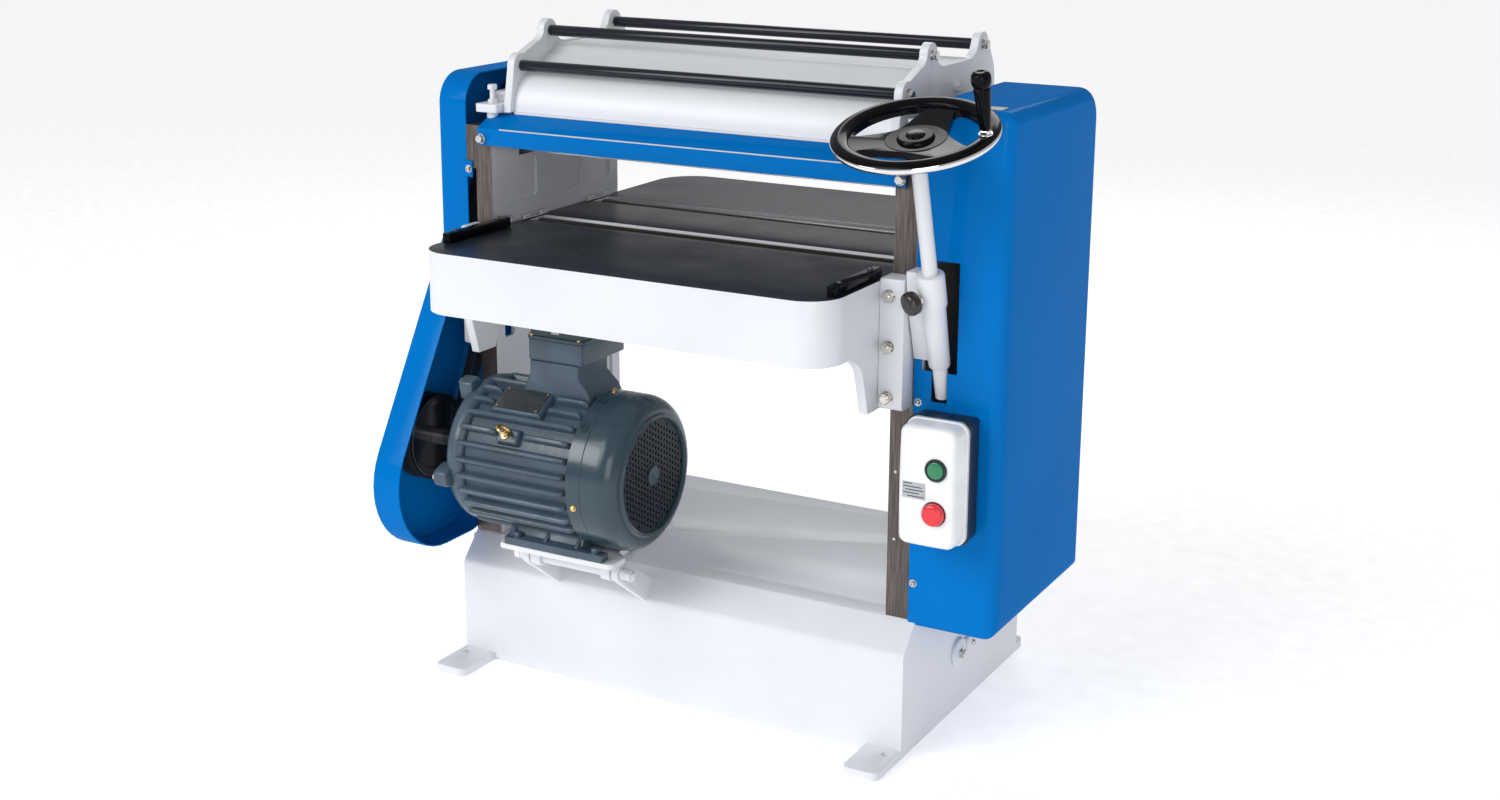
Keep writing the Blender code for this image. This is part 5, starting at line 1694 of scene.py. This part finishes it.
def make_rotor():
    """Motor shaft with its core and the fan behind the grille."""
    x = DRIVE_END
    work = new()
    profile = [
        (BOX["motor_rotor"][0].x, 0.0120), (BOX["motor_rotor"][0].x + 0.001, 0.0130), (x - 0.012, 0.0130),
        (x - 0.012, 0.0140), (-0.245, 0.0140),
        (-0.245, 0.0715), (-0.095, 0.0715), (-0.095, 0.0140), (-0.058, 0.0140), (-0.058, 0.0300),
        (-0.032, 0.0280), (-0.024, 0.0120),
    ]
    across(work, MOTOR, profile, 48)
    piece("rotor_core", work, "rotor", STEEL, ["motor_rotor"])
    work = new()
    across(
        work, MOTOR, [(-0.0575, 0.0305), (-0.0575, 0.0840), (-0.0555, 0.0840), (-0.0555, 0.0305)], 64,
        "looped",
    )
    for blade in range(9):
        turn = Matrix.Translation((0, MOTOR.y, MOTOR.z)) @ Matrix.Rotation(2 * pi * blade / 9, 4, "X")
        outline = [(0.0300, -0.0012), (0.0820, -0.0012), (0.0820, 0.0012), (0.0300, 0.0012)]
        tips = ((-0.0560, 1.0), (-0.0240, 0.93))
        rings = [[(level, a * cut, b) for a, b in outline] for level, cut in tips]
        skin(work, rings, place=turn)
    piece("cooling_fan", work, "rotor", PLASTIC)


def make_motor_mount():
    """Tilting plate with its hinge rod, knuckles and the belt tension bolt and nuts."""
    low, high = BOX["motor_plate"]
    top = high.z
    work = new()
    outline = [
        (low.x, low.y), (-0.026, low.y), (-0.026, low.y + 0.038), (-0.046, low.y + 0.050), (-0.046, high.y),
        (low.x, high.y),
    ]
    prism(work, rounded(outline, [0.008, 0.008, 0.010, 0.010, 0.008, 0.008]), "Z", top - 0.008, top)
    plate = solid("motor_slide_plate", work)
    changes = []
    for x in (-0.180, -0.062):
        lug = new()
        knuckle = arc((HINGE.y, HINGE.z), 0.013, 180, 360, 24)
        prism(
            lug, [(HINGE.y - 0.013, top - 0.004), *knuckle, (HINGE.y + 0.013, top - 0.004)], "X", x - 0.008,
            x + 0.008,
        )
        changes.append(("UNION", lug))
    holes = new()
    across(holes, HINGE, [(-0.25, HINGE_ROD + GAP), (0, HINGE_ROD + GAP)], 32)
    turned(holes, (-0.115, 0.038, 0), (0, 0, 1), [(0.20, 0.0066), (0.30, 0.0066)], 24)
    changes.append(("DIFFERENCE", holes))
    carve(plate, *changes)
    soften(plate, 0.0010, 2, 38)
    shown(plate, "motor_base", WHITE, ["motor_plate"])
    rod_low, rod_high = BOX["motor_hinge_rod"]
    work = new()
    across(work, HINGE, [
        (rod_low.x, HINGE_ROD - 0.001), (rod_low.x + 0.001, HINGE_ROD), (rod_high.x - 0.001, HINGE_ROD),
        (rod_high.x, HINGE_ROD - 0.001),
    ], 40)
    piece("hinge_rod", work, "machine", WHITE, ["motor_hinge_rod"])
    work = new()
    for x, way in ((rod_low.x, -1), (rod_high.x, 1)):
        place = frame_at((x, HINGE.y, HINGE.z), (way, 0, 0))
        six_sided(work, place, ((0.0001, 0.0098), (0.0075, 0.0098), (0.0088, 0.0086)))
        disc(work, place, 0.0058, 0.0088, 0.0125, 24, 0.0012)
    piece("hinge_rod_ends", work, "machine", WHITE, edge=0.0005)
    work = new()
    thread(work, (-0.115, 0.038), BASE_TOP, 0.2700, 0.0046, 0.0014)
    piece("tension_bolt", work, "machine", ZINC, smooth=50)
    work = new()
    place = frame_at((-0.115, 0.038, BASE_TOP), (0, 0, 1))
    hexagon(work, place, 0.0150, 0, 0.0070)
    piece("tension_lock_nut", work, "machine", ZINC)
    work = new()
    for z, way in ((top, 1), (top - 0.008, -1)):
        ring = frame_at((-0.115, 0.038, z), (0, 0, way))
        for low_z, high_z, reach in ((0, 0.0014, 0.0100), (0.0014, 0.0080, 0.0083)):
            count = 6 if reach < 0.009 else 28
            outer = [(reach * cos(2 * pi * k / count), reach * sin(2 * pi * k / count)) for k in range(count)]
            inner = [(a * 0.0070 / reach, b * 0.0070 / reach) for a, b in outer]
            rings = [
                [(a, b, low_z) for a, b in outer], [(a, b, high_z) for a, b in outer],
                [(a, b, high_z) for a, b in inner], [(a, b, low_z) for a, b in inner],
            ]
            skin(work, rings, "looped", ring)
    piece("tension_nuts", work, "motor_base", ZINC)


# -------------------------------------------------------------------- switch
SWITCH_LOW, SWITCH_HIGH = BOX["switch_box"]
START = sum(BOX["start_button"], Vector()) / 2
STOP = sum(BOX["stop_button"], Vector()) / 2


def make_switch():
    """Back box, moulded lid with a lipped seam, plain label, green and red buttons."""
    corners = rectangle((SWITCH_LOW.x, SWITCH_HIGH.x), (SWITCH_LOW.z, SWITCH_HIGH.z))
    back, face = SWITCH_HIGH.y, SWITCH_LOW.y
    work = new()
    levels = (
        (back, 0.0042), (back - 0.004, 0.0020), (face + 0.006, 0.0010), (face + 0.005, 0.0), (face, 0.0),
    )
    skin(work, [lift(rounded(corners, [0.008] * 4, inset, 6), "Y", level) for level, inset in levels])
    case = solid("switch_back_box", work, 30)
    hollow = new()
    prism(hollow, rounded(corners, [0.008] * 4, 0.0040, 6), "Y", face - 0.01, back - 0.004)
    wells = new()
    middle = (face + back) / 2
    for x in (SWITCH_LOW.x + 0.026, SWITCH_HIGH.x - 0.026):
        turned(wells, (x, middle, SWITCH_HIGH.z), (0, 0, 1), [(-0.0022, 0.0118), (0.004, 0.0118)], 32)
    carve(case, ("DIFFERENCE", hollow), ("DIFFERENCE", wells))
    shown(case, "machine", PLASTIC, ["switch_box"])
    front = BOX["switch_lid"][0].y
    seat = BOX["switch_lid"][1].y
    work = new()
    levels = [
        (seat, 0.0004), (seat - 0.0006, 0.0), (seat - 0.0066, 0.0), (seat - 0.0072, 0.0006),
        (seat - 0.0074, 0.0026),
    ]
    levels += [
        (front + 0.0100, 0.0036), (front + 0.0062, 0.0044), (front + 0.0030, 0.0062),
        (front + 0.0010, 0.0092), (front, 0.0130),
    ]
    rings = []
    for level, inset in levels:
        outline = rounded(corners, [0.015] * 4, inset, 8)
        bulge = 0.0012 if inset > 0.001 else 0.0
        rings.append(lift([bowed(p, corners, bulge) for p in divided(outline, 3)], "Y", level))
    skin(work, rings)
    lid = solid("switch_cover_lid", work, 25)
    holes = new()
    for at, radius in ((START, 0.0119), (STOP, 0.0154)):
        turned(holes, (at.x, front, at.z), (0, 1, 0), [(-0.006, radius), (0.018, radius)], 40)
    carve(lid, ("DIFFERENCE", holes))
    shown(lid, "machine", LID, ["switch_lid"])
    work = new()
    turned(
        work, (START.x, front, START.z), (0, -1, 0),
        [
            (-0.0160, 0.0120), (-0.0160, 0.0140), (-0.0004, 0.0140), (-0.0004, 0.0152), (0.0022, 0.0152),
            (0.0034, 0.0142), (0.0036, 0.0128), (0.0030, 0.0120),
        ],
        48, "looped",
    )
    turned(
        work, (STOP.x, front, STOP.z), (0, -1, 0),
        [
            (-0.0160, 0.0156), (-0.0160, 0.0168), (-0.0004, 0.0168), (0.0006, 0.0166), (0.0008, 0.0160),
            (0.0004, 0.0156),
        ],
        48, "looped",
    )
    piece("button_bezels", work, "machine", PLASTIC)
    work = new()
    turned(
        work, (START.x, front, START.z), (0, -1, 0),
        [
            (-0.0100, 0.0060), (-0.0100, 0.0115), (0.0022, 0.0115), (0.0034, 0.0110), (0.0040, 0.0098),
            (0.0040, 0.0010),
        ],
        48,
    )
    piece("start_push", work, "start", GREEN, ["start_button"], smooth=40)
    work = new()
    profile = [
        (-0.0100, 0.0080), (-0.0100, 0.0150), (0.0050, 0.0150), (0.0072, 0.0146), (0.0088, 0.0134),
        (0.0097, 0.0110), (0.0100, 0.0070), (0.0101, 0.0010),
    ]
    turned(work, (STOP.x, front, STOP.z), (0, -1, 0), profile, 48)
    piece("stop_push", work, "stop", RED, ["stop_button"], smooth=40)
    work = new()
    box(work, (0.3765, 0.4085), (front - 0.0007, front + 0.0006), (0.3925, 0.4145))
    piece("switch_label", work, "machine", LABEL, edge=0.0002)
    rules = new()
    lengths = ((0.378, 0.390), (0.378, 0.404), (0.381, 0.406), (0.378, 0.400), (0.384, 0.407))
    for number, (start, end) in enumerate(lengths):
        z = 0.4125 - number * 0.0042
        box(rules, (start, end), (front - 0.0009, front - 0.0004), (z - 0.0006, z + 0.0006))
    piece("switch_label_rules", rules, "machine", PLASTIC)


def divided(outline, parts):
    """Cut each longer stretch of an outline into parts."""
    found = []
    for here, point in enumerate(outline):
        after = outline[(here + 1) % len(outline)]
        count = parts * 3 if (Vector(after) - Vector(point)).length > 0.02 else 1
        for step in range(count):
            share = step / count
            found.append((point[0] + (after[0] - point[0]) * share, point[1] + (after[1] - point[1]) * share))
    return found


def bowed(point, corners, amount):
    """Push a point of a rectangle's outline outwards, most at the middle of each side."""
    (left, low), (right, high) = corners[0], corners[2]
    u = 2 * (point[0] - left) / (right - left) - 1
    v = 2 * (point[1] - low) / (high - low) - 1
    return point[0] + amount * u * (1 - v * v), point[1] + amount * v * (1 - u * u)


# ----------------------------------------------------------- smaller details
def make_details():
    """Plain plate on the cover, the base's port cap with its screws, and plugs in the right frame."""
    work = new()
    top = BOX["right_gear_cover"][1].z
    outline = rounded(rectangle((0.379, 0.458), (0.012, 0.036)), [0.002] * 4, steps=3)
    prism(work, outline, "Z", top + 0.0001, top + 0.0008)
    piece("cover_top_plate", work, "machine", PALE)
    work = new()
    turned(
        work, (FRAME_OUT, 0.151, 0.086), (1, 0, 0),
        [(0.0002, 0.0010), (0.0002, 0.0220), (0.0045, 0.0220), (0.0058, 0.0205), (0.0058, 0.0010)], 48,
    )
    box(work, (FRAME_OUT + 0.0002, FRAME_OUT + 0.0050), (0.176, 0.206), (0.074, 0.098))
    piece("base_port_cap", work, "machine", WHITE, edge=0.0008)
    work = new()
    hex_bolt(work, (FRAME_OUT + 0.0058, 0.151, 0.086), (1, 0, 0), 0.0070, 0.3)
    round_screw(work, (FRAME_OUT + 0.0050, 0.198, 0.086), (1, 0, 0), 0.0035)
    piece("base_port_screws", work, "machine", ZINC)
    work = new()
    for z in (0.395, 0.300):
        disc(work, frame_at((0.3300, 0, z), (0, -1, 0)), 0.0022, 0.0001, 0.0009, 16, 0.0003)
    piece("frame_front_plugs", work, "machine", STEEL)


def dress():
    """Finish the CAD pieces that stay as they are: material by slot and small rounded edges."""
    finishes = {
        "white_paint": WHITE, "blue_paint": BLUE, "black_paint": BLACK, "motor_paint": MOTOR_PAINT,
        "table_iron": TABLE_IRON, "machined_iron": CAST_IRON, "steel": STEEL, "black_steel": BLACK_STEEL,
        "rubber": RUBBER, "black_plastic": PLASTIC, "green_plastic": GREEN, "red_plastic": RED,
    }
    slots = {part["node"]: part["material_slot"] for part in frame["record"]["subparts"]}
    for node, item in frame["nodes"].items():
        if node in TAKEN:
            continue
        item.data.materials.clear()
        item.data.materials.append(finishes[slots[node]])
        edge = item.modifiers.new("edge", "BEVEL")
        edge.width = 0.0008
        edge.segments = 2
        edge.limit_method = "ANGLE"
        edge.angle_limit = radians(38)
        item.data.shade_smooth()
        item.data.set_sharp_from_angle(angle=radians(38))


# --------------------------------------------------- floor, lights and camera
def make_stage():
    """Pale floor, soft studio lights and a pale surround."""
    work = new()
    outline = rounded(rectangle((-14, 14), (-14, 14)), [0.5] * 4, steps=6)
    prism(work, outline, "Z", -0.02, -0.0002)
    floor = solid("studio_floor", work)
    floor.data.materials.append(FLOOR)
    world = bpy.data.worlds.new("studio_world")
    world.use_nodes = True
    world.node_tree.nodes["Background"].inputs["Color"].default_value = (0.97, 0.98, 1.0, 1)
    world.node_tree.nodes["Background"].inputs["Strength"].default_value = 0.43
    scene.world = world
    scene.view_settings.view_transform = "Standard"
    target = HOME + Vector((0, 0.15, 0.45))
    for name, at, size, power in LIGHTS:
        light = bpy.data.lights.new(name, "AREA" if size else "SUN")
        light.energy = power
        if size:
            light.shape = "RECTANGLE"
            light.size, light.size_y = size
        else:
            light.angle = radians(35)
        item = bpy.data.objects.new(name, light)
        item.location = HOME + Vector(at)
        item.rotation_euler = (target - item.location).to_track_quat("-Z", "Y").to_euler()
        scene.collection.objects.link(item)


LIGHTS = (
    ("even_light", (-1.6, -3.2, 3.0), None, 1.0),
    ("key_light", (-1.9, -2.6, 2.0), (1.4, 1.4), 24),
    ("fill_light", (1.9, -2.6, 1.3), (1.6, 1.6), 21),
    ("rear_light", (-0.6, 2.8, 2.6), (2.0, 1.4), 26),
)


def make_camera():
    """The camera of the main view."""
    camera = bpy.data.cameras.new("main_camera")
    camera.sensor_width = 36
    camera.lens = 47.92
    camera.shift_y = -0.0533
    camera.clip_end = 50
    item = bpy.data.objects.new("main_camera", camera)
    yaw, pitch, roll = radians(28.89), radians(-14.14), radians(0.31)
    turn = Euler((pi / 2 + pitch, 0, yaw)).to_matrix() @ Matrix.Rotation(roll, 3, "Z")
    item.matrix_world = Matrix.Translation(HOME + Vector((1.3832, -2.31316, 1.2410))) @ turn.to_4x4()
    scene.collection.objects.link(item)
    scene.camera = item


make_base()
make_side_frame(-1)
make_side_frame(1)
make_cross_pieces()
make_belt_guard()
make_gear_cover()
make_hood()
make_cutterblock()
make_pulley("cutter_grooved_pulley", CUTTER, CUTTER_PULLEY_R, 0.0128, "cutterblock", "cutterhead_pulley")
make_pulley("motor_grooved_pulley", MOTOR, MOTOR_PULLEY_R, 0.0133, "rotor", "motor_pulley")
make_belts()
make_chains()
make_feed_rollers()
make_pressure_pieces()
make_springs()
make_table()
make_table_pieces()
make_screws()
make_handwheel()
make_grip()
make_shaft()
make_bracket()
make_motor_frame()
make_motor_fittings()
make_drive_shield()
make_fan_cover()
make_terminal_box()
make_rotor()
make_motor_mount()
make_switch()
make_details()
dress()
make_stage()
make_camera()
